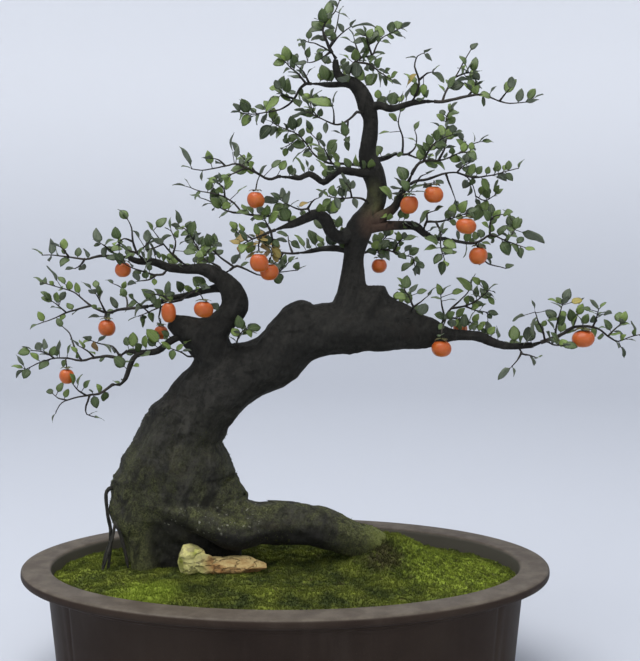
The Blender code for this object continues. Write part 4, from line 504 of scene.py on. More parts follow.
def read_sprays():
    """The sprays by name, each with its radius, stem, twigs and leaves."""
    sprays = {}
    for words, points in read_rows(SPRAYS):
        if words == ["twig"]:
            if len(points[0]) == 1:
                points[0] = rule["stem"][int(points[0][0])]
            rule["twigs"].append(points)
        elif words == ["leaves"]:
            rule["leaves"] = points
        else:
            name, radius = words
            rule = sprays[name] = dict(radius=float(radius), stem=points, twigs=[])
    return sprays


def seen(x, z, depth):
    """The point that is seen at (x, z) on the middle plane, taken along the sight line to its depth."""
    scale = (VIEW_DISTANCE + depth) / VIEW_DISTANCE
    return np.array([VIEW_X + (x - VIEW_X) * scale, depth, VIEW_Z + (z - VIEW_Z) * scale])


def unit(vector):
    """The vector at length 1."""
    return vector / np.linalg.norm(vector)


def smooth_path(points, spacing):
    """Catmull-Rom curve through the points, read about every spacing of its first three columns."""
    points = np.asarray(points, dtype=float)
    padded = np.vstack([2 * points[0] - points[1], points, 2 * points[-1] - points[-2]])
    rows = []
    for index in range(len(points) - 1):
        p0, p1, p2, p3 = padded[index:index + 4]
        steps = max(1, round(np.linalg.norm(p2[:3] - p1[:3]) / spacing))
        for step in range(steps):
            t = step / steps
            rows.append(0.5 * (2 * p1 + (p2 - p0) * t + (2 * p0 - 5 * p1 + 4 * p2 - p3) * t ** 2
                               + (3 * p1 - p0 - 3 * p2 + p3) * t ** 3))
    rows.append(points[-1])
    return np.array(rows)


def limb_path(readings, spacing):
    """Rows of x, y, z, radius and depth ratio along a limb of the wood."""
    rows = [[*seen(*row[:3]), row[3], row[4] if len(row) > 4 else 1.0] for row in readings]
    return smooth_path(rows, spacing)


def twig_path(readings, first, last):
    """Rows of x, y, z and radius along a twig that thins from its first to its last radius."""
    rows = smooth_path([seen(*reading) for reading in readings], TWIG_SPACING)
    return np.column_stack([rows, np.linspace(first, last, len(rows))])


def balls_along(path, every=3.0, extra=0.0):
    """Balls (x, y, z, radius) that fill a path, for clearance tests."""
    rows = []
    for a, b in zip(path[:-1], path[1:]):
        count = max(1, int(np.linalg.norm(b[:3] - a[:3]) / every))
        for step in range(count):
            rows.append(a[:4] + (b[:4] - a[:4]) * step / count)
    rows.append(path[-1][:4])
    balls = np.array(rows)
    balls[:, 3] += extra
    return balls


def balls_of(wood, fruits):
    """Balls that fill the limbs, and a ball round each fruit."""
    return (np.vstack([balls_along(path) for path, sides in wood.values()]),
            np.array([[*fruit["centre"], 0.5 * max(fruit["width"], fruit["height"]) + 1.0]
                      for fruit in fruits.values()]))


def clear_by(balls, others):
    """The least clearance between two sets of balls."""
    if not len(balls) or not len(others):
        return math.inf
    apart = np.linalg.norm(balls[:, None, :3] - others[None, :, :3], axis=2)
    return float((apart - balls[:, None, 3] - others[None, :, 3]).min())


def length_along(path):
    """Distance of each row of a path from its start."""
    steps = np.linalg.norm(np.diff(path[:, :3], axis=0), axis=1)
    return np.concatenate([[0.0], np.cumsum(steps)])


def point_at(path, distance):
    """The row of a path at a distance from its start."""
    along = length_along(path)
    return np.array([np.interp(distance, along, path[:, column]) for column in range(path.shape[1])])


def cut_path(path, start, end):
    """The stretch of a path between two distances."""
    along = length_along(path)
    inside = path[(along > start + 1.0) & (along < end - 1.0)]
    return np.vstack([point_at(path, start), inside, point_at(path, end)])


def nearest_row(paths, point, skip=2.0):
    """The row of the paths that lies nearest to a point, away from the first stretch of each."""
    best = None
    for path in paths:
        along = length_along(path)
        for distance in np.arange(skip, along[-1] - 0.5, 1.5):
            row = point_at(path, distance)
            apart = np.linalg.norm(row[:3] - point)
            if best is None or apart < best[0]:
                best = (apart, row)
    return best[1]


def bent_clear(readings, first, last, others, from_row):
    """A twig's path, its depth bent step by step until it stays clear of the other nodes."""
    for bend in BENDS:
        share = np.linspace(0.0, 1.0, len(readings))
        moved = [(x, z, y + bend * s) for (x, z, y), s in zip(readings, share)]
        path = twig_path(moved, first, last)
        if from_row is not None:
            shift = from_row[:3] - path[0, :3]
            path[:, :3] += shift * np.linspace(1.0, 0.0, len(path))[:, None]
        if clear_by(balls_along(path, extra=TWIG_CLEAR), others) > 0:
            return path
    return path


def split_stem(path, wood_balls):
    """Where a stem leaves the wood behind: the distance along it that is clear of every limb."""
    along = length_along(path)
    for distance in np.arange(2.0, along[-1], 1.0):
        if clear_by(point_at(path, distance)[None, :4], wood_balls) > STUB_CLEAR:
            return distance
    return along[-1] * 0.5


def leaf_points(leaf):
    """Balls over a leaf's blade, for clearance tests."""
    side = np.cross(leaf["normal"], leaf["axis"])
    rows = []
    for u in (0.22, 0.46, 0.73, 1.0):
        for v in (-0.46, 0.0, 0.46):
            width = v * leaf["width"] * min(u / 0.46, (1.0 - u) / 0.54)
            drop = leaf["droop"] * (u - 0.3) ** 2 * leaf["length"]
            along = leaf["neck"] + u * leaf["length"]
            rows.append([*(leaf["base"] + leaf["axis"] * along + side * width
                           - leaf["normal"] * drop), 1.5])
    return np.array(rows)


def make_leaf(base, axis, rng, length, neck=0.0):
    """A leaf at a point of its twig: where it starts, where it points and how it is turned."""
    axis = unit(axis)
    up = np.array([rng.uniform(-0.45, 0.45), rng.uniform(-0.9, 0.5), 0.75])
    normal = unit(up - axis * up.dot(axis))
    return dict(base=base, axis=axis, normal=normal, length=length, neck=neck,
                width=length * LEAF_WIDTH_RATIO * rng.uniform(0.88, 1.1), droop=rng.uniform(0.1, 0.5))


def plan_tree():
    """Wood limbs, sprays with their tubes and leaves, and fruits, in mm."""
    rng = random.Random(SEED)
    wood, fruits, sprays, taken = {}, {}, {}, {}
    for (name, sides), points in read_rows(WOOD):
        spacing = WOOD_SPACING if int(sides) > COARSE_SIDES else LIMB_SPACING
        wood[name] = (limb_path(points, spacing), int(sides))
    for (name, spray), [(x, z, depth, width, height)] in read_rows(FRUITS):
        fruits[name] = dict(centre=seen(x, z, depth), width=width, height=height, spray=spray)
    wood_balls, fruit_balls = balls_of(wood, fruits)

    rules = read_sprays()
    for name, rule in rules.items():
        others = np.vstack([fruit_balls] + list(taken.values()))
        stem = bent_clear(rule["stem"], rule["radius"], TWIG_TIP, others, None)
        cut = split_stem(stem, wood_balls)
        heading = unit(point_at(stem, cut + 1.0)[:3] - point_at(stem, cut - 1.0)[:3])
        stub = cut_path(stem, 0.0, cut)
        stem = cut_path(stem, cut, length_along(stem)[-1])
        stem[0, :3] += heading * STUB_GAP
        tubes = [stem]
        beyond = np.vstack([others, wood_balls, balls_along(stub)])
        for twig in rule["twigs"]:
            start = nearest_row(tubes, seen(*twig[0]))
            radius = min(start[3], TWIG_MAX)
            tubes.append(bent_clear(twig, radius, TWIG_TIP, beyond, start))
        sprays[name] = dict(tubes=tubes, stub=stub, heading=heading, leaves=[], calyces=[])
        taken[name] = np.vstack([balls_along(path, extra=TWIG_ROOM) for path in tubes + [stub]])
    wood_balls = np.vstack([wood_balls] + [balls_along(spray["stub"]) for spray in sprays.values()])

    for name, fruit in fruits.items():
        spray = sprays[fruit["spray"]]
        top = fruit["centre"] + np.array([0.0, 0.0, 0.5 * fruit["height"] + GAP])
        start = nearest_row(spray["tubes"], top + np.array([0.0, 0.0, 6.0]), skip=4.0)
        neck = top + np.array([0.0, 0.0, CALYX_THICKNESS + 4.0])
        stalk = smooth_path([start[:3], 0.35 * start[:3] + 0.65 * neck + [0, 0, 1.0],
                             top + [0.0, 0.0, 0.6 * CALYX_THICKNESS]], 5.0)
        stalk = np.column_stack([stalk, np.linspace(*STALK_RADII, len(stalk))])
        spray["tubes"].append(stalk)
        spray["calyces"].append(dict(top=top, radius=CALYX_SHARE * fruit["width"]))
        ring = [[top[0], top[1], top[2] + 1.0, 0.38 * fruit["width"]]]
        taken[fruit["spray"]] = np.vstack([taken[fruit["spray"]],
                                           balls_along(stalk, extra=TWIG_ROOM), ring])

    for name, rule in rules.items():
        spray = sprays[name]
        beyond = np.vstack([fruit_balls, wood_balls] + [b for n, b in taken.items() if n != name])
        own = [np.empty((0, 4))]
        for x, z, length in rule["leaves"]:
            add_marked_leaf(spray, x, z, length, rng, beyond, own)
        for path in spray["tubes"][:1 + len(rule["twigs"])]:
            add_end_leaf(spray, path, rng, beyond, own)
        taken[name] = np.vstack([taken[name]] + own)
    return wood, sprays, fruits


def try_leaf(spray, leaf, beyond, own):
    """Keeps the leaf if it is clear of the other nodes and of its own spray's leaves."""
    points = leaf_points(leaf)
    if clear_by(points, beyond) < LEAF_CLEAR or clear_by(points, np.vstack(own)) < LEAF_APART:
        return False
    spray["leaves"].append(leaf)
    own.append(points)
    return True


def add_marked_leaf(spray, x, z, length, rng, beyond, own):
    """A leaf seen at (x, z): its blade is centred there, with a leaf stalk where it is far away."""
    twigs = [path for path in spray["tubes"] if length_along(path)[-1] > LEAFY_TWIG]
    guess = seen(x, z, float(np.mean([path[-1, 1] for path in twigs])))
    near = nearest_row(twigs, guess)
    for step in DEPTH_STEPS:
        centre = seen(x, z, near[1] + rng.uniform(-3.0, 3.0) + step)
        reach = np.linalg.norm(centre - near[:3])
        axis = unit(centre - near[:3] + np.array([0.01, 0.0, 0.01]))
        neck = max(0.0, reach - 0.5 * length)
        if neck > LEAF_NECK_MAX:
            continue
        if try_leaf(spray, make_leaf(near[:3], axis, rng, length, neck), beyond, own):
            return


def add_end_leaf(spray, path, rng, beyond, own):
    """A small leaf that ends a twig, where no leaf is there already."""
    here = path[-1, :3]
    if clear_by(np.array([[*here, 1.0]]), np.vstack(own)) < 0.0:
        return
    tangent = unit(here - path[-2, :3])
    for attempt in range(SMALL_TRIES):
        axis = tangent + [rng.uniform(-0.4, 0.4), rng.uniform(-0.5, 0.5), rng.uniform(-0.1, 0.5)]
        leaf = make_leaf(here - tangent * 0.6, axis, rng, LEAF_LENGTH * rng.uniform(0.7, 0.9))
        if try_leaf(spray, leaf, beyond, own):
            return


# Surfaces: every function returns whole arrays, in mm

def lattice_noise(points, seed=0):
    """Noise from -1 to 1: hashed values at the whole-number corners round each point, blended by
    the fifth-degree ease t * t * t * (t * (6 t - 15) + 10)."""
    cell = np.floor(points).astype(np.int64)
    part = points - cell
    ease = part ** 3 * (part * (part * 6.0 - 15.0) + 10.0)
    total = np.zeros(len(points))
    for corner in np.ndindex(2, 2, 2):
        at = (cell + corner).astype(np.uint64)
        code = (at[:, 0] * np.uint64(73856093)) ^ (at[:, 1] * np.uint64(19349663))
        code = code ^ (at[:, 2] * np.uint64(83492791)) ^ np.uint64(seed * 2654435761 + 97)
        code = (code ^ (code >> np.uint64(15))) * np.uint64(2246822519)
        code = (code ^ (code >> np.uint64(13))) * np.uint64(3266489917)
        value = ((code >> np.uint64(9)) & np.uint64(0xFFFF)).astype(float) / 32767.5 - 1.0
        weight = np.prod(np.where(corner, ease, 1.0 - ease), axis=1)
        total += value * weight
    return total


def layered_noise(points, size, octaves=3, seed=0):
    """Noise of a feature size in mm, with octaves at half the size and half the strength."""
    total = np.zeros(len(points))
    for octave in range(octaves):
        total += lattice_noise(points * (2.0 ** octave / size), seed + octave) * 0.5 ** octave
    return total


def ease_between(value, low, high):
    """0 below low, 1 above high, and 3 t^2 - 2 t^3 between them."""
    t = np.clip((value - low) / (high - low), 0.0, 1.0)
    return t * t * (3.0 - 2.0 * t)


def grid_faces(rows, columns, ring=False):
    """Quads of a grid of rows by columns, whose columns close into a ring where ring is true."""
    row, column = np.meshgrid(np.arange(rows - 1), np.arange(columns if ring else columns - 1),
                              indexing="ij")
    right = (column + 1) % columns
    quads = np.stack([row * columns + column, row * columns + right,
                      (row + 1) * columns + right, (row + 1) * columns + column], axis=-1)
    return quads.reshape(-1, 4)


def ring_faces(rings, columns, first, last=None):
    """Quads between stacked rings, and fans that close the first and the last ring at the points
    of these numbers."""
    around = np.arange(columns)
    after = np.roll(around, -1)
    fans = np.column_stack([after, around, np.full(columns, first)])
    if last is not None:
        top = (rings - 1) * columns
        fans = np.vstack([fans, np.column_stack([top + around, top + after, np.full(columns, last)])])
    return [grid_faces(rings, columns, ring=True), fans]


def turned_over(faces):
    """The same faces, looking the other way."""
    return [block[:, ::-1] for block in faces]


class Skin:
    """The points and faces of one piece, gathered surface by surface."""

    def __init__(self):
        self.points, self.faces, self.slots, self.uvs, self.tones = [], [], [], [], []
        self.count = 0

    def add(self, points, faces, tone=0.0, slot=0, uv=None):
        """Adds a surface: points in mm, faces of three or four columns, the tone of its points,
        a material slot number, and the UV of its points."""
        points = np.asarray(points, dtype=float).reshape(-1, 3)
        self.points.append(points)
        for block in faces if isinstance(faces, list) else [faces]:
            self.faces.append(np.asarray(block) + self.count)
            self.slots.append(np.full(len(block), slot))
        self.uvs.append(np.zeros((len(points), 2)) if uv is None else np.asarray(uv).reshape(-1, 2))
        self.tones.append(np.broadcast_to(tone, (len(points),)))
        self.count += len(points)

    def piece(self, name, finishes):
        """The gathered surfaces as a smooth-shaded object in metres, linked to the scene."""
        points = np.concatenate(self.points) * MM
        corners = np.concatenate([block.ravel() for block in self.faces])
        totals = np.concatenate([np.full(len(block), block.shape[1]) for block in self.faces])
        mesh = bpy.data.meshes.new(name)
        mesh.vertices.add(len(points))
        mesh.vertices.foreach_set("co", points.astype(np.float32).ravel())
        mesh.loops.add(len(corners))
        mesh.loops.foreach_set("vertex_index", corners.astype(np.int32))
        mesh.polygons.add(len(totals))
        mesh.polygons.foreach_set("loop_start", (np.cumsum(totals) - totals).astype(np.int32))
        mesh.polygons.foreach_set("material_index", np.concatenate(self.slots).astype(np.int32))
        mesh.update(calc_edges=True)
        layer = mesh.uv_layers.new(name="UVMap")
        layer.data.foreach_set("uv", np.concatenate(self.uvs)[corners].astype(np.float32).ravel())
        tone = mesh.attributes.new("tone", "FLOAT", "POINT")
        tone.data.foreach_set("value", np.concatenate(self.tones).astype(np.float32))
        for finish in finishes:
            mesh.materials.append(finish)
        mesh.shade_smooth()
        made = bpy.data.objects.new(name, mesh)
        bpy.context.scene.collection.objects.link(made)
        return made


def piece_of(name, finishes, *surfaces):
    """One piece made of whole surfaces, each with what Skin.add takes."""
    skin = Skin()
    for surface in surfaces:
        skin.add(*surface)
    return skin.piece(name, finishes)


def carried_frames(path):
    """Two directions across a path at each of its rows, carried along so that they don't twist."""
    steps = np.gradient(path[:, :3], axis=0)
    tangents = steps / np.linalg.norm(steps, axis=1)[:, None]
    reference = [0.0, 1.0, 0.0] if abs(tangents[0][1]) < 0.9 else [1.0, 0.0, 0.0]
    across = np.empty_like(tangents)
    across[0] = unit(np.cross(tangents[0], reference))
    for row in range(1, len(tangents)):
        carried = across[row - 1] - tangents[row] * across[row - 1].dot(tangents[row])
        across[row] = unit(carried)
    return across, np.cross(tangents, across)


def swept_tube(path, sides, knobbly=0.0, seed=0):
    """Closed tube along rows of x, y, z, radius and depth ratio. A point lies at the radius times
    one plus layered noise from the path: across * cos + deep * ratio * sin. Each end is a pole."""
    across, deep = carried_frames(path)
    angles = np.arange(sides) * 2.0 * np.pi / sides
    ratio = path[:, 4] if path.shape[1] > 4 else np.ones(len(path))
    offset = (across[:, None] * np.cos(angles)[None, :, None]
              + deep[:, None] * (ratio[:, None] * np.sin(angles))[:, :, None])
    offset = offset * path[:, 3][:, None, None]
    ring = path[:, None, :3] + offset
    if knobbly:
        bumps = layered_noise(ring.reshape(-1, 3), 4.0 * float(path[:, 3].mean()), 3, seed)
        ring = path[:, None, :3] + offset * (1.0 + knobbly * bumps.reshape(len(path), sides, 1))
    points = np.vstack([ring.reshape(-1, 3), path[0, :3], path[-1, :3]])
    faces = ring_faces(len(path), sides, len(points) - 2, len(points) - 1)
    distance = length_along(path)
    along = np.append(np.repeat(distance, sides), [0.0, distance[-1]])
    turn = np.append(np.tile(angles, len(path)), [0.0, 0.0])
    return points, faces, np.column_stack([along * 0.01, turn / 6.2832])


def crooked(path, amount, seed):
    """A path read every few mm, with its points shifted by noise that dies away at the start."""
    rows = smooth_path(path, FINE_SPACING)
    ease = np.minimum(1.0, length_along(rows) / 15.0)
    for axis in range(3):
        shift = layered_noise(rows[:, :3], 16.0, 2, seed + 7 * axis)
        rows[:, axis] += shift * amount * ease
    return rows


def leaf_template(rows, columns):
    """Faces of a leaf's two sides, which share the points of its edge: the upper grid comes first
    and the inner points of the lower side follow it."""
    upper = np.arange(rows * columns).reshape(rows, columns)
    lower = upper.copy()
    inner = np.arange((rows - 2) * (columns - 2)).reshape(rows - 2, columns - 2)
    lower[1:-1, 1:-1] = rows * columns + inner
    top = grid_faces(rows, columns)
    return top[:, ::-1], lower.ravel()[top]


def both_sides(upper, lower):
    """Rows of two-sided blades: all of each upper grid, then the inner part of its lower one."""
    count, width = len(upper), upper.shape[-1]
    return np.concatenate([upper.reshape(count, -1, width),
                           lower[:, 1:-1, 1:-1].reshape(count, -1, width)], axis=1)


LEAF_ROWS, LEAF_COLUMNS = 7, 5
LEAF_TOP, LEAF_UNDER = leaf_template(LEAF_ROWS, LEAF_COLUMNS)
LEAF_TOP_SLOT, LEAF_UNDER_SLOT, CALYX_SLOT = 1, 2, 3


def add_leaves(skin, leaves, rng):
    """All the leaves of a spray at once. A blade's half width is sin(pi u^0.8)^0.75 of its width,
    and it rises by a fold along the midrib, falls by a droop, and waves along its edge. A thin
    stalk joins each blade to its twig."""
    count = len(leaves)
    u = np.linspace(0.0, 1.0, LEAF_ROWS)[None, :, None]
    v = np.linspace(-1.0, 1.0, LEAF_COLUMNS)[None, None, :]
    axis, normal, base = (np.array([leaf[key] for leaf in leaves])[:, None, None]
                          for key in ("axis", "normal", "base"))
    length, width, droop, neck = (np.array([leaf[key] for leaf in leaves])[:, None, None]
                                  for key in ("length", "width", "droop", "neck"))
    phase, fold, twist = (np.array([rng.uniform(low, high) for leaf in leaves])[:, None, None]
                          for low, high in ((0.0, 6.3), (0.05, 0.3), (-0.35, 0.35)))
    half = 0.5 * width * np.clip(np.sin(np.pi * u ** 0.8), 0.0, 1.0) ** 0.75 + 0.35
    half = half * (1.0 - 0.6 * (u == 1.0))
    side_way = v * half
    along = neck + u * length
    height = (fold * np.abs(side_way) - droop * (u - 0.3) ** 2 * length
              + 0.07 * width * np.abs(v) * np.sin(7.0 * u + phase + 1.6 * (v > 0)) + twist * side_way * u)
    middle = (base + axis * along[..., None] + np.cross(normal, axis) * side_way[..., None]
              + normal * height[..., None])
    thick = (0.22 * (1.0 - v ** 2) * np.sin(np.pi * u))[..., None] * normal
    points = both_sides(middle + thick, middle - thick)
    grid = np.stack(np.broadcast_arrays(u, 0.5 + 0.5 * v), axis=-1)
    uv = both_sides(grid, grid)[0]
    step = points.shape[1]
    starts = (np.arange(count) * step)[:, None, None]
    tone = np.repeat([leaf["tone"] for leaf in leaves], step)
    skin.add(points, (LEAF_TOP[None] + starts).reshape(-1, 4), tone, LEAF_TOP_SLOT,
             np.tile(uv, (count, 1)))
    skin.faces.append((LEAF_UNDER[None] + starts).reshape(-1, 4) + skin.count - count * step)
    skin.slots.append(np.full(len(LEAF_UNDER) * count, LEAF_UNDER_SLOT))
    for leaf in leaves:
        tip = leaf["base"] + leaf["axis"] * (leaf["neck"] + 1.0)
        points, faces, uv = swept_tube(np.array([[*leaf["base"], 0.5], [*tip, 0.42]]), 4)
        skin.add(points, faces, uv=uv)


# Materials

class Socket:
    """A shader socket in an expression: each operator adds the Math node that works it out."""

    def __init__(self, finish, link):
        self.finish = finish
        self.link = link

    def __add__(self, other):
        return self.finish.math("ADD", self, other)

    def __sub__(self, other):
        return self.finish.math("SUBTRACT", self, other)

    def __rsub__(self, other):
        return self.finish.math("SUBTRACT", other, self)

    def __mul__(self, other):
        return self.finish.math("MULTIPLY", self, other)

    def __abs__(self):
        return self.finish.math("ABSOLUTE", self)

    __radd__ = __add__
    __rmul__ = __mul__


def set_all(thing, **values):
    """Sets several properties of a thing."""
    for key, value in values.items():
        setattr(thing, key, value)
    return thing


class Finish:
    """A material and its node tree. Settings that are the same all over go on the shader."""

    def __init__(self, name, **settings):
        self.material = bpy.data.materials.new(name)
        self.material.use_nodes = True
        self.nodes = self.material.node_tree.nodes
        self.links = self.material.node_tree.links
        self.shader = self.nodes["Principled BSDF"]
        for key, value in settings.items():
            self.shader.inputs[key.replace("_", " ").title().replace("Ior", "IOR")].default_value = value

    def node(self, kind, settings, values, output=0):
        """Adds a node: its settings first, then the values or links of its sockets."""
        made = set_all(self.nodes.new(kind), **settings)
        for key, value in values.items():
            self.feed(made.inputs[key], value)
        return Socket(self, made.outputs[output])

    def feed(self, socket, value):
        """Links or sets one socket."""
        if isinstance(value, Socket):
            self.links.new(value.link, socket)
        elif socket.type == "RGBA":
            socket.default_value = (*value, 1.0)
        else:
            socket.default_value = value

    def math(self, operation, first, second=0.0):
        """A Math node on one or two values."""
        return self.node("ShaderNodeMath", {"operation": operation}, {0: first, 1: second})

    def vectors(self, operation, first, second, output="Value"):
        """A Vector Math node on two vectors."""
        return self.node("ShaderNodeVectorMath", {"operation": operation}, {0: first, 1: second},
                         output)

    def clamped(self, value):
        """The value held between 0 and 1."""
        return self.node("ShaderNodeClamp", {}, {"Value": value})

    def place(self):
        """Object coordinates, in metres."""
        return self.node("ShaderNodeTexCoord", {}, {}, "Object")

    def stretched(self, scale, turn=(0.0, 0.0, 0.0)):
        """Object coordinates scaled by axis, after a turn."""
        return self.node("ShaderNodeMapping", {}, {"Vector": self.place(), "Scale": scale,
                                                   "Rotation": turn})

    def noise(self, scale, detail=4.0, rough=0.55, at=None, twist=0.0):
        """Noise from 0 to 1, with scale features in a metre."""
        values = {"Vector": at or self.place(), "Scale": scale, "Detail": detail,
                  "Roughness": rough, "Distortion": twist}
        return self.node("ShaderNodeTexNoise", {}, values, "Fac")

    def cells(self, scale, feature="F1", at=None):
        """Distance in a pattern of cells."""
        return self.node("ShaderNodeTexVoronoi", {"feature": feature},
                         {"Vector": at or self.place(), "Scale": scale}, "Distance")

    def part_of(self, vector, axis):
        """One coordinate of a vector."""
        return self.node("ShaderNodeSeparateXYZ", {}, {"Vector": vector}, axis)

    def ease(self, value, low, high):
        """0 at low and 1 at high, eased between them."""
        return self.node("ShaderNodeMapRange", {"interpolation_type": "SMOOTHSTEP"},
                         {"Value": value, "From Min": low, "From Max": high})

    def fade(self, value, low, high):
        """1 at low and 0 at high, eased between them."""
        return 1.0 - self.ease(value, low, high)

    def ramp(self, value, stops):
        """Colours along a value, each with its place."""
        colours = self.node("ShaderNodeValToRGB", {}, {"Fac": value}, "Color")
        elements = colours.link.node.color_ramp.elements
        while len(elements) < len(stops):
            elements.new(1.0)
        for element, (place, colour) in zip(elements, stops):
            element.position = place
            element.color = (*colour, 1.0)
        return colours

    def mix(self, factor, first, second, blend="MIX"):
        """Two colours mixed by a factor."""
        return self.node("ShaderNodeMix", {"data_type": "RGBA", "blend_type": blend},
                         {0: factor, 6: first, 7: second}, 2)

    def tone(self):
        """The piece's own tone attribute."""
        return self.node("ShaderNodeAttribute", {"attribute_name": "tone"}, {}, "Fac")

    def normal(self):
        """The way that the surface faces."""
        return self.node("ShaderNodeNewGeometry", {}, {}, "Normal")

    def facing_up(self):
        """How far the surface faces up, from -1 to 1."""
        return self.part_of(self.normal(), "Z")

    def relief(self, height, distance, strength=1.0):
        """Bump on the shader's normal, with its full height in metres."""
        bump = self.node("ShaderNodeBump", {}, {"Height": height, "Distance": distance,
                                                "Strength": strength}, "Normal")
        self.links.new(bump.link, self.shader.inputs["Normal"])

    def done(self, colour, roughness=None):
        """Feeds the shader and returns the material."""
        self.feed(self.shader.inputs["Base Color"], colour)
        if roughness is not None:
            self.feed(self.shader.inputs["Roughness"], roughness)
        return self.material


def bark_finish(name, looks, moss_height_m):
    """Charcoal bark with small plates, brown patches, a film of moss low down and on ledges, and painted
    shade under the lip and in the hollow of the root.
    """
    f = Finish(name, specular_ior_level=0.2)
    place = f.place()
    side, height, up = f.part_of(place, "X"), f.part_of(place, "Z"), f.facing_up()
    grain = f.noise(170.0, 8.0, 0.65)
    plates = f.cells(120.0, "F1", f.stretched((1.0, 1.0, 0.55)))
    leaning = f.node("ShaderNodeMapping", {"vector_type": "TEXTURE"},
                     {"Vector": place, "Scale": (1.0, 1.0, 4.0), "Rotation": (0.0, STREAK_LEAN, 0.0)})
    streaks = f.noise(75.0, 5.0, 0.62, leaning, 0.6)
    worn = f.fade(f.vectors("DISTANCE", place, WORN_FORK), 0.012, 0.034)
    base = f.mix(f.ease(grain, 0.3, 0.7), looks.dark, looks.light)
    base = f.mix(f.ease(f.noise(22.0, 6.0, 0.6), 0.55, 0.72) * 0.6, base, looks.brown)
    base = f.mix(f.ease(streaks, 0.52, 0.66) * 0.5, base, looks.ridge)
    base = f.mix(f.ease(height, 0.28, 0.46) * 0.6, base, looks.dark)
    base = f.mix(worn * (0.35 + grain), base, looks.worn)

    # The film of moss, which leaves the wood bare under the lip and in the hollow, where painted shade also
    # darkens the bark
    film = f.ease(f.noise(34.0, 9.0, 0.68), 0.3, 0.74)
    fuzz = f.noise(420.0, 4.0, 0.7)
    left = f.ease(side * -1.0, -0.12, 0.16)
    root_end = f.ease(side, 0.02, 0.1)
    foot = f.fade(side, -0.2, -0.165)
    low = f.fade(height, 0.14, moss_height_m)
    ledge = f.ease(up, 0.15, 0.85) * f.fade(height, 0.2, 0.34)
    cover = (low * (left * 0.95 + root_end * 1.1 + foot * 0.5 + 0.42) + ledge * 0.7) * film
    under_lip_shade = (f.fade(up, 0.2, 0.62) * f.fade(height, 0.202, 0.220)
                 * f.ease(side, -0.16, -0.12) * f.fade(side, 0.04, 0.09))
    flat = f.vectors("MULTIPLY", place, (1.0, 0.0, HOLLOW_FLATNESS), "Vector")
    centre = (HOLLOW_X * MM, 0.0, round(HOLLOW_Z * HOLLOW_FLATNESS) * MM)
    low_edge, high_edge = HOLLOW_EDGE[0] * MM, HOLLOW_EDGE[1] * MM
    hollow = f.fade(f.vectors("DISTANCE", flat, centre), low_edge, high_edge) * 0.85
    bare = f.math("MAXIMUM", under_lip_shade, hollow)
    cover = cover * (1.0 - bare)
    # Painted shade: the bark under the lip and in the hollow is darkened towards the charcoal colour
    base = f.mix(bare * 0.7, base, looks.dark)
    green = f.mix(f.ease(fuzz, 0.36, 0.66), looks.moss_dark, looks.moss_light)
    green = f.mix(f.fade(height, 0.15, 0.24) * fuzz * 0.8, green, looks.moss_light)
    colour = f.mix(f.clamped(cover), base, green)

    # Dark cracks, the mossy fork, the root's end, pits and lichen
    colour = f.mix(f.fade(streaks, 0.34, 0.47) * 0.75, colour, looks.dark)
    mossy = f.fade(f.vectors("DISTANCE", place, MOSSY_FORK), 0.01, 0.034)
    colour = f.mix(mossy * film * 0.8, colour, looks.moss_light)
    tip = f.ease(side + fuzz * 0.03, 0.105, 0.145) * f.fade(height, 0.24, 0.3)
    colour = f.mix(tip * 0.8, colour, f.mix(fuzz, looks.moss_light, looks.moss_tip))
    pits = f.ease(f.noise(85.0, 5.0, 0.6), 0.6, 0.72)
    colour = f.mix(pits * 0.75, colour, looks.dark)
    lichen = (f.ease(f.noise(190.0, 3.0, 0.5), 0.64, 0.7) * f.fade(abs(height - 0.226), 0.01, 0.024)
              * f.fade(abs(side + 0.095), 0.05, 0.075))
    colour = f.mix(lichen * 0.55, colour, looks.lichen)
    rough = streaks * 1.2 + grain * 0.7 + f.ease(plates, 0.0, 0.5) * 0.4
    f.relief(rough + cover * fuzz * 0.6 - pits * 0.8, 0.0018)
    return f.done(colour, 0.97 - grain * 0.25)


def twig_finish(looks):
    """Brown-grey twig bark, lighter on young growth, with fine cross rings."""
    f = Finish("twig_bark", specular_ior_level=0.3)
    grain = f.noise(300.0, 5.0, 0.6)
    colour = f.mix(f.ease(f.noise(60.0, 4.0), 0.35, 0.7), looks.twig_dark, looks.twig_light)
    f.relief(grain, 0.0004)
    return f.done(colour, 0.85 - grain * 0.15)


def leaf_finish(name, looks, under):
    """Leaf green by each leaf's tone, with a pale midrib and side veins read from its UV."""
    f = Finish(name, specular_ior_level=0.42)
    uv = f.node("ShaderNodeUVMap", {"uv_map": "UVMap"}, {}, "UV")
    along, across = f.part_of(uv, "X"), abs(f.part_of(uv, "Y") * 2.0 - 1.0)
    midrib = f.fade(across, 0.02, 0.09)
    rows = f.math("FRACT", (along - across * 0.3) * 8.0)
    veins = f.fade(abs(rows - 0.5), 0.03, 0.16) * f.fade(across, 0.75, 0.98)
    if under:
        colour = f.mix(f.tone(), looks.back_dark, looks.back_light)
        colour = f.mix(midrib * 0.5 + veins * 0.2, colour, looks.back_vein)
    else:
        colour = f.ramp(f.tone(), [(0.0, looks.dark), (0.45, looks.middle), (0.8, looks.bright),
                                   (0.93, looks.yellow), (1.0, looks.dry)])
        colour = f.mix(midrib * 0.45 + veins * 0.18, colour, looks.vein)
    blotch = f.noise(220.0, 3.0, 0.6)
    colour = f.mix(f.ease(blotch, 0.45, 0.8) * 0.35, colour, looks.shade)
    f.relief(1.0 - midrib * 0.6 - veins * 0.4, 0.00035, 0.8)
    return f.done(colour, (0.62 if under else 0.4) + blotch * 0.15)


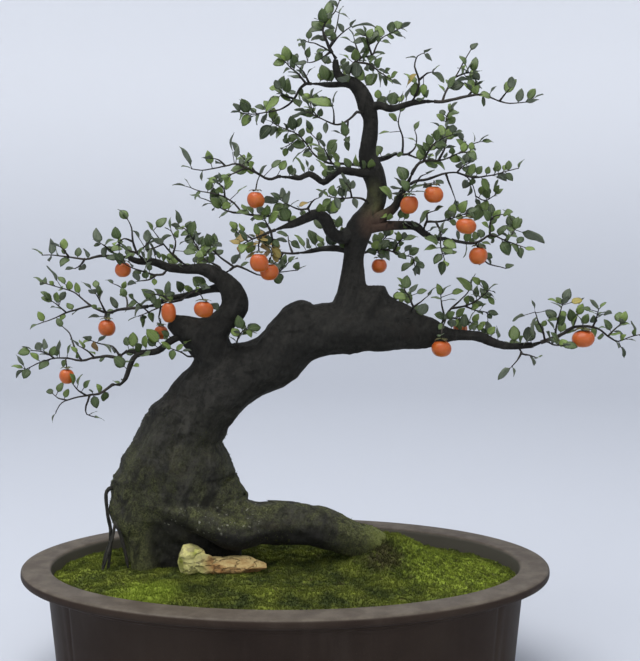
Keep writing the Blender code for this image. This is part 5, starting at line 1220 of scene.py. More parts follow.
def fruit_finish(looks):
    """Waxy orange skin, yellower low down on each fruit, with faint clouds and dark specks."""
    f = Finish("persimmon_skin", specular_ior_level=0.35, coat_weight=0.06, coat_roughness=0.3,
               subsurface_weight=0.08, subsurface_scale=0.003)
    clouds = f.noise(110.0, 4.0, 0.55)
    colour = f.mix(f.tone(), looks.deep, looks.orange)
    colour = f.mix(f.ease(clouds, 0.4, 0.75) * 0.4, colour, looks.yellow)
    specks = f.fade(f.cells(700.0), 0.08, 0.2) * f.ease(f.noise(140.0, 2.0), 0.56, 0.62)
    colour = f.mix(specks * 0.7, colour, looks.speck)
    f.relief(f.noise(900.0, 2.0) * 0.3 + clouds, 0.0006)
    return f.done(colour, 0.3 + clouds * 0.12)


def calyx_finish(looks):
    """Dull green sepals that dry to brown at their edges."""
    f = Finish("calyx", specular_ior_level=0.3)
    colour = f.mix(f.tone(), looks.calyx_green, looks.calyx_brown)
    colour = f.mix(f.noise(400.0, 4.0) * 0.5, colour, looks.calyx_brown)
    f.relief(f.noise(350.0, 4.0), 0.0003)
    return f.done(colour, 0.75)


def pot_finish(looks):
    """Dark brown stoneware, unglazed, paler on the rim's top from wear and from painted light from above,
    with fine grit and faint streaks.
    """
    f = Finish("stoneware", specular_ior_level=0.12)
    height = f.part_of(f.place(), "Z")
    clouds = f.noise(9.0, 6.0, 0.6)
    streaks = f.noise(30.0, 5.0, 0.6, f.stretched((1.0, 1.0, 0.12)))
    base = f.mix(f.ease(clouds, 0.3, 0.7), looks.body, looks.body_warm)
    base = f.mix(f.ease(streaks, 0.5, 0.8) * 0.25, base, looks.rim)
    inner = f.fade(f.vectors("DOT_PRODUCT", f.normal(), f.place()), -0.14, -0.05)
    base = f.mix(inner * f.ease(height, 0.1, 0.12), base, looks.inner)
    # Paler rim top: partly wear, partly painted light on the faces that look up
    worn_and_lit_rim_top = f.ease(height, 0.1555, 0.1592) * f.ease(f.facing_up(), 0.2, 0.8)
    rim = f.mix(f.ease(f.noise(45.0, 7.0, 0.65), 0.35, 0.7), looks.rim, looks.rim_pale)
    colour = f.mix(worn_and_lit_rim_top, base, rim)
    grit = f.noise(900.0, 3.0, 0.7)
    dust = f.ease(grit, 0.62, 0.75)
    colour = f.mix(dust * 0.25, colour, looks.dust)
    f.relief(grit * 0.5 + f.noise(160.0, 4.0) * 0.5, 0.00035)
    return f.done(colour, 0.62 - clouds * 0.15 + dust * 0.2)


def moss_finish(looks):
    """Moss from dark hollows, with painted shade at the sprigs' feet and in the creases, to yellow-green
    tips, with bright patches and some bare brown.
    """
    f = Finish("moss_green", specular_ior_level=0.1)
    place = f.place()
    patches = f.noise(26.0, 5.0, 0.6)
    small = f.noise(140.0, 5.0, 0.65)
    colour = f.mix(f.ease(patches, 0.35, 0.68), looks.dark, looks.green)
    front = f.fade(f.vectors("DISTANCE", place, BRIGHT_FRONT) + small * 0.02, 0.03, 0.07)
    right = f.fade(f.vectors("DISTANCE", place, BRIGHT_RIGHT), 0.045, 0.1)
    bright = right * (0.12 + 0.46 * f.ease(small, 0.4, 0.62))
    bright = bright + front * 0.85 + f.ease(patches, 0.6, 0.74) * 0.5
    sides = f.ease(abs(f.part_of(place, "X") + 0.04), 0.12, 0.24) * f.ease(small, 0.35, 0.65)
    colour = f.mix(f.clamped(bright + sides * 0.3), colour, looks.bright)
    away = f.vectors("DISTANCE", place, BARE_MOUND)
    bare = f.math("MAXIMUM", f.ease(f.noise(62.0, 5.0, 0.7), 0.57, 0.67),
                  f.fade(away + f.noise(50.0, 4.0) * 0.03, 0.028, 0.05))
    colour = f.mix(bare * 0.7, colour, looks.bare)
    litter = f.ease(f.noise(230.0, 3.0, 0.6), 0.64, 0.7) * f.ease(f.noise(31.0, 3.0), 0.42, 0.6)
    colour = f.mix(litter * 0.6, colour, looks.litter)
    # Painted shade: where the tone is low, at the sprigs' feet and in the creases of the cushions, the
    # colour is darkened towards the hollow colour
    colour = f.mix(f.tone(), f.mix(0.55, colour, looks.hollow), colour)
    colour = f.mix(f.ease(small, 0.5, 0.85) * 0.35, colour, looks.bright)
    f.relief(f.noise(700.0, 4.0, 0.7), 0.0008)
    return f.done(colour, 0.95)


def rock_finish(looks):
    """Stone, yellow-white with green on its left lump and rusty orange on its slab, whose upward faces
    carry a painted highlight, with cracks.
    """
    f = Finish("stone", specular_ior_level=0.3)
    slab = f.ease(f.part_of(f.place(), "X") + f.noise(60.0, 3.0) * 0.03, -0.1, -0.07)
    fine = f.noise(160.0, 8.0, 0.65)
    broad = f.noise(48.0, 5.0, 0.6)
    pale = f.mix(fine, looks.pale, looks.cream)
    pale = f.mix(f.ease(broad, 0.46, 0.66), pale, looks.green_stone)
    rust = f.mix(f.ease(broad, 0.35, 0.65), looks.rust, looks.sand)
    # Painted highlight: the slab's faces that look up are lightened towards cream
    rust = f.mix(f.ease(f.facing_up(), 0.3, 0.9) * 0.35, rust, looks.cream)
    colour = f.mix(slab, pale, rust)
    worn = f.ease(f.facing_up(), -0.1, 0.5) * (1.0 - slab) * f.ease(f.noise(75.0, 5.0, 0.6), 0.38, 0.56)
    colour = f.mix(worn * 0.75, colour, looks.worn_stone)
    turned = f.stretched((0.7, 1.0, 1.7), (0.2, 0.5, 0.3))
    cracks = f.fade(abs(f.noise(42.0, 4.0, 0.55, turned, 0.6) - 0.5), 0.0, 0.02)
    colour = f.mix(cracks * 0.5, colour, looks.crack)
    colour = f.mix(f.ease(fine, 0.54, 0.72) * 0.42, colour, looks.crack)
    f.relief(fine * 0.7 - cracks * 0.8 + broad * 0.8, 0.0034)
    return f.done(colour, 0.85)


def soil_finish(looks):
    """Dark granular soil."""
    f = Finish("soil_grains", specular_ior_level=0.2)
    grains = f.cells(260.0)
    f.relief(grains, 0.0015)
    return f.done(f.mix(grains, looks.soil_dark, looks.soil_light), 0.95)


def net_finish(looks):
    """Dark green plastic net, faintly scuffed."""
    f = Finish("plastic_net", specular_ior_level=0.4)
    scuffs = f.noise(500.0, 3.0)
    f.relief(scuffs, 0.0001)
    return f.done(f.mix(scuffs, looks.net_dark, looks.net_light), 0.45 + scuffs * 0.2)


def wall_finish(looks):
    """Smooth matt paint, a touch paler with height."""
    f = Finish("studio_paint", specular_ior_level=0.1)
    height = f.ease(f.part_of(f.place(), "Z"), 0.0, 1.4)
    return f.done(f.mix(height, looks.floor, looks.wall), 0.95)


# Pieces

def settle(made, *nodes, slot):
    """Lets a piece ride on the part and stand for its CAD nodes. The slot is not used."""
    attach(made, "root")
    if nodes:
        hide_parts(*nodes)
    return made


def apply_modifiers(made):
    """Gives an object the mesh that its modifiers make."""
    depsgraph = bpy.context.evaluated_depsgraph_get()
    mesh = bpy.data.meshes.new_from_object(made.evaluated_get(depsgraph))
    old = made.data
    made.modifiers.clear()
    made.data = mesh
    bpy.data.meshes.remove(old)


def fused(name, surfaces, voxel):
    """Closed surfaces joined into one smoothed skin by a voxel remesh."""
    made = piece_of(name, [], *[surface[:2] for surface in surfaces])
    set_all(made.modifiers.new("fuse", "REMESH"), mode="VOXEL", voxel_size=voxel * MM, adaptivity=0.0)
    set_all(made.modifiers.new("smooth", "SMOOTH"), factor=0.5, iterations=4)
    apply_modifiers(made)
    return made


def points_and_normals(mesh):
    """Places in mm and unit normals of a mesh's points."""
    count = len(mesh.vertices)
    places, normals = np.empty(count * 3, np.float32), np.empty(count * 3, np.float32)
    mesh.vertices.foreach_get("co", places)
    mesh.vertex_normals.foreach_get("vector", normals)
    return places.reshape(-1, 3).astype(float) / MM, normals.reshape(-1, 3).astype(float)


def nearest_limb(points, paths):
    """For each point: the turn round its nearest limb, and that limb's radius."""
    rows = np.vstack([path[:, :4] for path in paths])
    frames = [carried_frames(path) for path in paths]
    across, deep = (np.vstack([frame[side] for frame in frames]) for side in (0, 1))
    nearest = np.empty(len(points), dtype=int)
    for start in range(0, len(points), 20000):
        block = points[start:start + 20000]
        apart = np.linalg.norm(block[:, None] - rows[None, :, :3], axis=2) / rows[None, :, 3] ** 0.5
        nearest[start:start + 20000] = apart.argmin(axis=1)
    away = points - rows[nearest, :3]
    turn = np.arctan2((away * deep[nearest]).sum(1), (away * across[nearest]).sum(1))
    return turn, rows[nearest, 3]


def displace(mesh, shift):
    """Moves each point of a mesh along its normal by a shift in mm."""
    places, normals = points_and_normals(mesh)
    moved = (places + normals * shift[:, None]) * MM
    mesh.vertices.foreach_set("co", moved.astype(np.float32).ravel())
    mesh.update()


def trunk_relief(mesh, paths, strength):
    """Bark relief in mm: long sinews that follow the limb, lumps, pits, and a fine grain."""
    places = points_and_normals(mesh)[0]
    turn, radius = nearest_limb(places, paths)
    wander = layered_noise(places, 90.0, 2, 3)
    sinews = np.sin(turn * 5.0 + wander * 3.5) * 0.6 + np.sin(turn * 9.0 - wander * 5.0) * 0.4
    lumps = layered_noise(places, 42.0, 3, 11)
    pits = -np.clip(layered_noise(places, 20.0, 2, 23) - 0.55, 0.0, 1.0) * 6.0
    grain = layered_noise(places * np.array([1.0, 1.0, 0.7]), 9.0, 3, 31)
    fine = 1.0 - np.abs(layered_noise(places, 5.0, 2, 41))
    share = np.clip(radius / 40.0, 0.15, 1.0)
    relief = share * (sinews * 1.6 + lumps * 2.7 + pits) + grain * 0.55 * np.sqrt(share) + fine * 0.35
    return relief * strength


def trim_trunk(mesh):
    """Moves the trunk's two edges sideways onto its outline: at each height, x shifts by what the
    edge lacks, in full at the edge and less towards the middle."""
    places = points_and_normals(mesh)[0]
    for side, reach, heights, edge in TRUNK_EDGES:
        fine = np.arange(heights[0], heights[-1], 2.0)
        level = np.abs(places[:, None, 2] - fine[None]) < 2.0
        found = np.where(level, side * places[:, :1], -1000.0).max(axis=0)
        lack = side * np.interp(fine, heights, edge) - found
        lack *= ease_between(fine, heights[0], heights[0] + 6.0)
        lack *= 1.0 - ease_between(fine, heights[-1] - 12.0, heights[-1])
        depth_in = np.interp(places[:, 2], fine, found) - side * places[:, 0]
        share = 1.0 - ease_between(depth_in, 0.35 * reach, reach)
        places[:, 0] += side * share * np.interp(places[:, 2], fine, lack, 0.0, 0.0)
    mesh.vertices.foreach_set("co", (places * MM).ravel())
    mesh.update()


def limb_tube(name, path, sides, knobbly):
    """A limb's tube, with a fine ring of sides and its own bumps."""
    fine = smooth_path(path, FINE_SPACING)
    left = length_along(fine)[-1] - length_along(fine)
    fine[:, 3] *= 0.5 + 0.5 * ease_between(left, -1.0, LIMB_END)
    return swept_tube(fine, sides, knobbly, seed=len(name) * 7)


def sprigs(places, normals, size, rng):
    """Moss sprigs: at each place three blades, each a triangle that stands on the normal and
    leans outwards by half its height."""
    count = len(places)
    turn = rng.uniform(0.0, 2.0 * np.pi, count)
    tall = (size * rng.uniform(0.55, 1.35, count))[:, None]
    wide = (0.2 * size)[:, None]
    shade = rng.uniform(0.35, 1.0, count)
    helper = np.where(np.abs(normals[:, 2:3]) > 0.9, [[1.0, 0.0, 0.0]], [[0.0, 0.0, 1.0]])
    one = np.cross(normals, helper)
    one /= np.linalg.norm(one, axis=1)[:, None]
    two = np.cross(normals, one)
    points, tones = [], []
    for blade in range(3):
        angle = turn + blade * 2.0 * np.pi / 3.0
        out = one * np.cos(angle)[:, None] + two * np.sin(angle)[:, None]
        side = one * -np.sin(angle)[:, None] + two * np.cos(angle)[:, None]
        foot = places - normals * 0.4
        points += [foot - side * wide, foot + side * wide,
                   places + normals * tall + out * (0.5 * tall)]
        # The feet get a low tone, which the finish darkens as painted shade; the tips take their random
        # shade
        tones += [np.full(count, 0.1), np.full(count, 0.1), shade]
    faces = np.arange(count * 9).reshape(-1, 3)
    return np.stack(points, axis=1).reshape(-1, 3), faces, np.stack(tones, axis=1).ravel()


def moss_top(x, y):
    """Height of the moss over places in mm: the level, its edge drop and slope, and two mounds."""
    reach = np.minimum(1.0, np.hypot(x / MOSS_HALF_LENGTH, y / MOSS_HALF_DEPTH))
    height = MOSS_LEVEL - MOSS_EDGE_DROP * reach ** 6 - MOSS_SLOPE * y
    for at_x, at_y, tall, spread_x, spread_y in MOUNDS:
        bell = -0.5 * (((x - at_x) / spread_x) ** 2 + ((y - at_y) / spread_y) ** 2)
        height = height + tall * np.exp(bell)
    return height


def moss_cushions(x, y):
    """Relief of the moss: rounded cushions with creases between them, and a fine nap."""
    flat = np.column_stack([x, y, np.zeros(len(x))])
    cushions = 1.0 - np.abs(layered_noise(flat, 24.0, 2, 5)) * 1.6
    small = 1.0 - np.abs(layered_noise(flat, 9.0, 2, 8)) * 1.5
    nap = layered_noise(flat, 3.0, 2, 13)
    return cushions * 2.6 + small * 1.1 + nap * 0.35 - 1.6


def moss_ground():
    """Moss over the pot's mouth: rings that narrow to the middle, and a skirt under its edge."""
    share = np.linspace(1.0, 0.0, MOSS_ROWS, endpoint=False)[:, None] ** 0.75
    turns = np.arange(MOSS_COLUMNS)[None] * 2.0 * np.pi / MOSS_COLUMNS
    x = np.append((MOSS_HALF_LENGTH * share * np.cos(turns)).ravel(), 0.0)
    y = np.append((MOSS_HALF_DEPTH * share * np.sin(turns)).ravel(), 0.0)
    top = np.column_stack([x, y, moss_top(x, y) + moss_cushions(x, y)])
    skirt = top[:MOSS_COLUMNS] - [0.0, 0.0, MOSS_THICKNESS]
    points = np.vstack([skirt, top, [[0.0, 0.0, MOSS_LEVEL - MOSS_THICKNESS]]])
    faces = ring_faces(MOSS_ROWS + 1, MOSS_COLUMNS, len(points) - 1, len(points) - 2)
    # Painted shade: the tone is lower in the creases between the cushions, and the finish darkens low tones
    tone = np.clip(0.45 + 0.22 * moss_cushions(points[:, 0], points[:, 1]), 0.1, 0.9)
    return points, faces, tone


def ground_sprigs(count, size, rng):
    """Sprigs spread evenly over the moss."""
    reach = np.sqrt(rng.uniform(0.0, 0.995, count))
    turn = rng.uniform(0.0, 2.0 * np.pi, count)
    x = MOSS_HALF_LENGTH * reach * np.cos(turn)
    y = MOSS_HALF_DEPTH * reach * np.sin(turn)
    places = np.column_stack([x, y, moss_top(x, y) + moss_cushions(x, y)])
    upright = np.array([[0.0, 0.0, 1.0]]) + rng.normal(0.0, SPRIG_LEAN, (count, 3))
    upright /= np.linalg.norm(upright, axis=1)[:, None]
    return sprigs(places, upright, size * tall_spots(x, y), rng)


def trunk_sprigs(size, reach, rng):
    """Short sprigs on the trunk: more of them low down, on its left and where it faces up, none in
    the hollow, and a cover of them over the end of the right root."""
    places, normals = points_and_normals(bpy.data.objects["trunk"].data)
    x, z = places[:, 0], places[:, 2]
    low = 1.0 - ease_between(z, MOSS_LEVEL, reach)
    left = 0.35 + 0.65 * ease_between(-x, -40.0, 150.0)
    film = ease_between(layered_noise(places, 30.0, 4, 61), -0.1, 0.5)
    away = ease_between(np.hypot(x - HOLLOW_X, HOLLOW_FLATNESS * (z - HOLLOW_Z)), *HOLLOW_EDGE)
    chance = np.clip(low * left * film * away, 0.0, 1.0)
    chance *= 0.4 + 0.6 * np.clip(normals[:, 2], 0.0, 1.0)
    chance += ease_between(x, 45.0, 100.0) * ease_between(-z, -225.0, -175.0)
    chosen = np.flatnonzero(rng.uniform(0.0, 1.0, len(places)) < chance * 0.9)
    places, normals = places[chosen], normals[chosen]
    places = places + rng.normal(0.0, 0.7, places.shape)
    points, faces, tone = sprigs(places, normals, np.full(len(places), size), rng)
    return points, faces, tone * 0.75


def tall_spots(x, y):
    """How tall the sprigs stand: taller in the bright patch in front and on the right mound."""
    tall = 1.0
    for at_x, at_y, reach, more in TALL_SPOTS:
        tall = tall + more * np.exp(-((x - at_x) ** 2 + (y - at_y) ** 2) / reach ** 2)
    return tall


def rounded_profile(corners, steps=4):
    """A profile whose corners (inset, height, radius) are rounded: each corner becomes the curve
    (1-t)^2 a + 2 t (1-t) b + t^2 c between points that lie a radius away from it."""
    corners = np.asarray(corners, dtype=float)
    rows = [corners[0, :2]]
    t = np.linspace(0.0, 1.0, steps)[:, None]
    for before, here, after in zip(corners[:-2], corners[1:-1], corners[2:]):
        if here[2] == 0.0:
            rows.append(here[:2])
            continue
        a = here[:2] + unit(before[:2] - here[:2]) * here[2]
        c = here[:2] + unit(after[:2] - here[:2]) * here[2]
        rows.extend((1 - t) ** 2 * a + 2 * t * (1 - t) * here[:2] + t ** 2 * c)
    rows.append(corners[-1, :2])
    return np.array(rows)


def pot_surface(looks):
    """Profile of the pot carried round an ellipse: x = (half length - inset) cos t, y = (half
    depth - inset) sin t. The body is pushed in by a bell curve at each upright groove."""
    band, top = RIM_OVERHANG, POT_HEIGHT
    panel = top - RIM_DROP - BAND_HEIGHT
    profile = rounded_profile([
        (band + BODY_TAPER + 12.0, 0.0, 0.0), (band + BODY_TAPER + 2.0, 0.0, 3.0),
        (band + BODY_TAPER, 8.0, 5.0), (band + BAND_PROUD + 1.2, panel - 6.0, 0.0),
        (band + BAND_PROUD, panel, 1.0), (band, panel + 2.2, 1.0), (band, top - RIM_DROP, 2.0),
        (2.0, top - RIM_DROP + 0.5, 2.2), (0.0, top - RIM_DROP + 4.0, 2.0), (0.6, top - 1.0, 3.0),
        (6.5, top, 3.0), (RIM_WIDTH - 2.0, top, 2.5), (RIM_WIDTH, top - 3.0, 1.8),
        (band + WALL, panel - 6.0, 3.0), (band + BODY_TAPER + WALL, FLOOR + 4.0, 3.0),
        (band + BODY_TAPER + WALL + 10.0, FLOOR, 0.0)])
    steep = 2.0 * np.pi * np.arange(looks.sides) / looks.sides
    groove = np.arccos(GROOVE_X / (POT_HALF_LENGTH - band))
    close = np.linspace(-0.03, 0.03, 13)
    extra = np.concatenate([g + close for g in (groove, np.pi - groove, np.pi + groove, -groove)])
    turns = np.unique(np.round(np.mod(np.concatenate([steep, extra]), 2.0 * np.pi), 5))
    inset, height = profile[:, :1], profile[:, 1:]
    x = (POT_HALF_LENGTH - inset) * np.cos(turns)
    y = (POT_HALF_DEPTH - inset) * np.sin(turns)
    outside = np.zeros(len(profile))
    rows = np.flatnonzero((profile[:, 1] > 4.0) & (profile[:, 1] < panel + 0.5))
    outside[rows[rows < len(profile) // 2]] = 1.0
    dent = looks.groove_depth / MM * np.exp(-((np.abs(x) - GROOVE_X) / (0.4 * GROOVE_WIDTH)) ** 2)
    dent = dent * outside[:, None]
    away = np.hypot(x, y)
    x, y = x * (1.0 - dent / away), y * (1.0 - dent / away)
    points = np.stack([x, y, np.broadcast_to(height, x.shape)], axis=-1)
    points = np.vstack([points.reshape(-1, 3), [[0.0, 0.0, 0.0], [0.0, 0.0, FLOOR]]])
    return points, ring_faces(len(profile), len(turns), len(points) - 2, len(points) - 1)


def cutter(name, low, high, sides=4):
    """An upright prism between two corners in mm: a box, or a round one with more sides."""
    low, high = np.array(low), np.array(high)
    middle, half = 0.5 * (low + high), 0.5 * (high - low)
    turn = (np.arange(sides) + 0.5) * 2.0 * np.pi / sides
    stretch = math.sqrt(2.0) if sides == 4 else 1.0
    ring = np.column_stack([np.cos(turn), np.sin(turn)]) * stretch * half[:2] + middle[:2]
    points = np.vstack([np.column_stack([ring, np.full(sides, z)]) for z in (low[2], high[2])])
    around = np.arange(sides)
    walls = grid_faces(2, sides, ring=True)
    return piece_of(name, [], (points, [walls, around[None, ::-1], around[None] + sides]))


def fruit_surface(fruit, rng, rows=18, columns=28):
    """Persimmon: radius sin(a)^0.86 squared off by 4 soft lobes, dimpled where the calyx sits and
    at the foot; height cos(a)."""
    a = np.linspace(0.0, np.pi, rows)[:, None]
    t = np.arange(columns)[None] * 2.0 * np.pi / columns
    lobes = 1.0 + 0.022 * np.cos(4.0 * (t + rng.uniform(0.0, 1.5))) * np.sin(a)
    across = 0.5 * fruit["width"] * np.sin(a) ** 0.86 * lobes
    tall = 0.5 * fruit["height"] * np.cos(a)
    tall = tall - 0.05 * fruit["height"] * np.exp(-(a / 0.3) ** 2)
    tall = tall + 0.03 * fruit["height"] * np.exp(-((np.pi - a) / 0.16) ** 2)
    tilt_x, tilt_y = rng.uniform(-0.1, 0.1), rng.uniform(-0.12, 0.02)
    x, y = across * np.cos(t), across * np.sin(t)
    z = np.broadcast_to(tall, x.shape)
    x, y = x + z * tilt_x, y + z * tilt_y
    points = np.stack([x, y, z], axis=-1)[1:-1].reshape(-1, 3)
    poles = np.array([[0.0, 0.0, float(tall[0, 0])], [0.0, 0.0, float(tall[-1, 0])]])
    points = np.vstack([points, poles]) + fruit["centre"]
    faces = ring_faces(rows - 2, columns, len(points) - 2, len(points) - 1)
    tone = np.clip(0.45 - (points[:, 2] - fruit["centre"][2]) / fruit["height"], 0.0, 1.0)
    return points, turned_over(faces), tone


def calyx_surface(calyx, rng):
    """Four sepals: each a blade whose half width is a bell along it, bowed up and then curled
    down, with two sides that share its edge."""
    u = np.linspace(0.0, 1.0, LEAF_ROWS)[:, None]
    v = np.linspace(-1.0, 1.0, LEAF_COLUMNS)[None]
    half = 0.52 * calyx["radius"] * np.sin(np.pi * (0.18 + 0.82 * u) ** 1.1) ** 0.8 + 0.1
    sepals = []
    for sepal in range(4):
        turn = 0.4 + 0.5 * math.pi * sepal + rng.uniform(-0.12, 0.12)
        reach = 1.12 * calyx["radius"] * rng.uniform(0.9, 1.1)
        lift = rng.uniform(0.1, 0.3)
        height = (0.9 + 0.5 * lift * reach * np.sin(np.pi * u) - 0.16 * reach * u ** 2
                  + 0.3 * np.abs(v))
        sepals.append(np.stack([u * reach * math.cos(turn) - v * half * math.sin(turn),
                                u * reach * math.sin(turn) + v * half * math.cos(turn),
                                height], axis=-1))
    middle = np.array(sepals)
    thick = (0.28 * (1.0 - v ** 2) * np.sin(np.pi * u))[..., None] * [0.0, 0.0, 1.0]
    points = both_sides(middle + thick, middle - thick)
    faces = np.vstack([LEAF_TOP, LEAF_UNDER]) + np.arange(4)[:, None, None] * points.shape[1]
    tone = np.broadcast_to((u ** 2)[None, ..., None], (4, LEAF_ROWS, LEAF_COLUMNS, 1))
    return points.reshape(-1, 3) + calyx["top"], faces.reshape(-1, 4), both_sides(tone, tone).ravel()


def rock_surface(centre, size, seed):
    """Ball cut by planes: along each direction the surface lies at the least of offset / cosine
    over all the planes, then layered noise shifts it along its direction."""
    mesh = bmesh.new()
    bmesh.ops.create_icosphere(mesh, subdivisions=6, radius=1.0)
    points = np.array([vert.co for vert in mesh.verts])
    faces = np.array([[vert.index for vert in face.verts] for face in mesh.faces])
    mesh.free()
    rng = np.random.default_rng(seed)
    planes = rng.normal(0.0, 1.0, (ROCK_PLANES, 3))
    planes /= np.linalg.norm(planes, axis=1)[:, None]
    planes = np.vstack([planes, np.eye(3), -np.eye(3)])
    offsets = np.concatenate([rng.uniform(0.82, 1.0, ROCK_PLANES), np.ones(6)])
    cosines = np.maximum(points @ planes.T, 0.05)
    reach = (offsets / cosines).min(axis=1)
    place = points * reach[:, None] * np.array(size) + centre
    rough = layered_noise(place, 14.0, 4, seed) * 1.0 + layered_noise(place, 40.0, 2, seed + 9) * 1.2
    return place + points * rough[:, None], faces


def spray_skin(spray, number, rng):
    """A spray's crooked twigs and fruit stalks, its leaves and its calyces."""
    skin = Skin()
    for index, path in enumerate(spray["tubes"]):
        thins = path[-1, 3] < path[0, 3]        # a twig thins, a fruit's stalk doesn't
        rows = crooked(path, TWIG_CROOK if thins else 0.0, number + index)
        rows[:, 3] *= np.linspace(*TWIG_SHARES, len(rows)) if thins else STALK_SHARE
        if index == 0:
            rows[0, :3] -= spray["heading"] * 2.0 * STUB_GAP
        points, faces, uv = swept_tube(rows, 7 if index == 0 else 6, 0.14, number + index)
        skin.add(points, faces, uv=uv)
    add_leaves(skin, spray["leaves"], rng)
    for calyx in spray["calyces"]:
        skin.add(*calyx_surface(calyx, rng), CALYX_SLOT)
    return skin


def small_leaf(base, axis, rng, smallest, largest, neck):
    """A small broad leaf that shows its face to the front."""
    leaf = make_leaf(base, axis, rng, rng.uniform(smallest, largest), neck)
    up = np.array([rng.uniform(-0.5, 0.5), rng.uniform(-1.3, 0.1), 0.6])
    leaf["normal"] = unit(up - leaf["axis"] * up.dot(leaf["axis"]))
    leaf["width"] *= 1.14
    leaf["small"] = True
    return leaf


def plan_small_leaves(wood, sprays, fruits, spacing, smallest, largest):
    """Adds small leaves along every twig, to alternate sides, where nothing is in their way."""
    rng = random.Random(SEED + 1)
    blocked = np.vstack(balls_of(wood, fruits))
    for name, spray in sprays.items():
        own = [leaf_points(leaf) for leaf in spray["leaves"]] or [np.empty((0, 4))]
        thin = max([share for start, share in THIN_SPRAYS.items() if name.startswith(start)],
                   default=1.0)
        for path in spray["tubes"]:
            total = length_along(path)[-1]
            if total < 10.0 or path[-1, 3] > path[0, 3]:
                continue
            side = 1.0
            for distance in np.arange(0.16 * total + 2.0, total, spacing * thin):
                distance = min(total - 0.5, distance + rng.uniform(-2.0, 2.0))
                row = point_at(path, distance)
                if (layered_noise(row[None, :3], LEAF_CLUSTER, 2, 77)[0] < -0.06 * rng.random()
                        and not in_dry_clump(row)):
                    continue
                tangent = unit(point_at(path, min(total, distance + 1.0))[:3]
                               - point_at(path, max(0.0, distance - 1.0))[:3])
                out = unit(np.cross(tangent, [0.2 * side, 1.0, 0.3])) * side
                side = -side
                for attempt in range(SMALL_TRIES):
                    axis = (tangent * rng.uniform(0.2, 0.9) + out * rng.uniform(0.4, 1.0)
                            + [0.0, rng.uniform(-0.7, 0.7), rng.uniform(-0.1, 0.7)])
                    leaf = small_leaf(row[:3], axis, rng, smallest / thin ** 0.3, largest / thin ** 0.3,
                                      rng.uniform(1.0, 4.0))
                    points = leaf_points(leaf)
                    if (clear_by(points, blocked) > SMALL_CLEAR
                            and clear_by(points, np.vstack(own)) > -SMALL_OVERLAP):
                        spray["leaves"].append(leaf)
                        own.append(points)
                        break


def plan_limb_leaves(wood, fruits, spacing, smallest, largest):
    """Leaves that grow straight from the thinner limbs, and a few on the old shoulders."""
    rng = random.Random(SEED + 5)
    wood_balls, fruit_balls = balls_of(wood, fruits)
    leaves, own = [], [fruit_balls]
    for name, (path, sides) in wood.items():
        if name in BARE_LIMBS or name.startswith("buried"):
            continue
        across, deep = carried_frames(path)
        along = length_along(path)
        for distance in np.arange(8.0, along[-1], spacing):
            row = point_at(path, distance)
            if row[3] > LEAFY_RADIUS and name != LEAFY_SHOULDER:
                continue
            nearest = int(np.abs(along - distance).argmin())
            turn = rng.uniform(0.0, 2.0 * math.pi)
            out = across[nearest] * math.cos(turn) + deep[nearest] * math.sin(turn)
            if out[2] < -0.35:
                out = -out
            tangent = unit(path[min(nearest + 1, len(path) - 1), :3] - path[max(nearest - 1, 0), :3])
            axis = out + tangent * rng.uniform(-0.2, 0.8) + [0.0, rng.uniform(-0.3, 0.1), 0.3]
            leaf = small_leaf(row[:3] + out * row[3] * 0.9, axis, rng, smallest, 1.1 * largest,
                              rng.uniform(1.5, 5.0))
            points = leaf_points(leaf)
            if clear_by(points, np.vstack(own)) > -0.8 and clear_by(points[3:], wood_balls) > -0.5:
                leaves.append(leaf)
                own.append(points)
    return leaves


def in_dry_clump(place):
    """Whether a place lies in the clump of dry leaves above the two fruits in the middle."""
    x, z, half_width, half_height = DRY_CLUMP
    return math.hypot((place[0] - x) / half_width, (place[2] - z) / half_height) < 1.0


def tint_leaves(groups):
    """Gives each leaf its tone: mostly dark to middle green, brighter on young leaves, and dry in
    the clump above the two fruits that hang in the middle."""
    rng = random.Random(SEED + 2)
    for leaves in groups:
        mood = rng.uniform(-0.12, 0.12)
        for leaf in leaves:
            tone = 0.34 + mood + rng.gauss(0.0, 0.26) + (0.1 if leaf.get("small") else 0.0)
            leaf["tone"] = min(0.8, max(0.0, tone))
            if rng.random() < (0.8 if in_dry_clump(leaf["base"]) else 0.005):
                leaf["tone"] = rng.uniform(0.95, 1.0)


# Settings

def size_setting(name, description, default):
    """A length in metres."""
    return bpy.props.FloatProperty(name=name, description=description, default=default,
                                   unit="LENGTH", min=0.0)


def share_setting(name, description, default):
    """A plain factor."""
    return bpy.props.FloatProperty(name=name, description=description, default=default,
                                   subtype="FACTOR", min=0.0, soft_max=1.0)


def colour_setting(name, description, default):
    """A linear colour."""
    return bpy.props.FloatVectorProperty(name=name, description=description, default=default,
                                         subtype="COLOR", size=3, min=0.0, max=1.0)


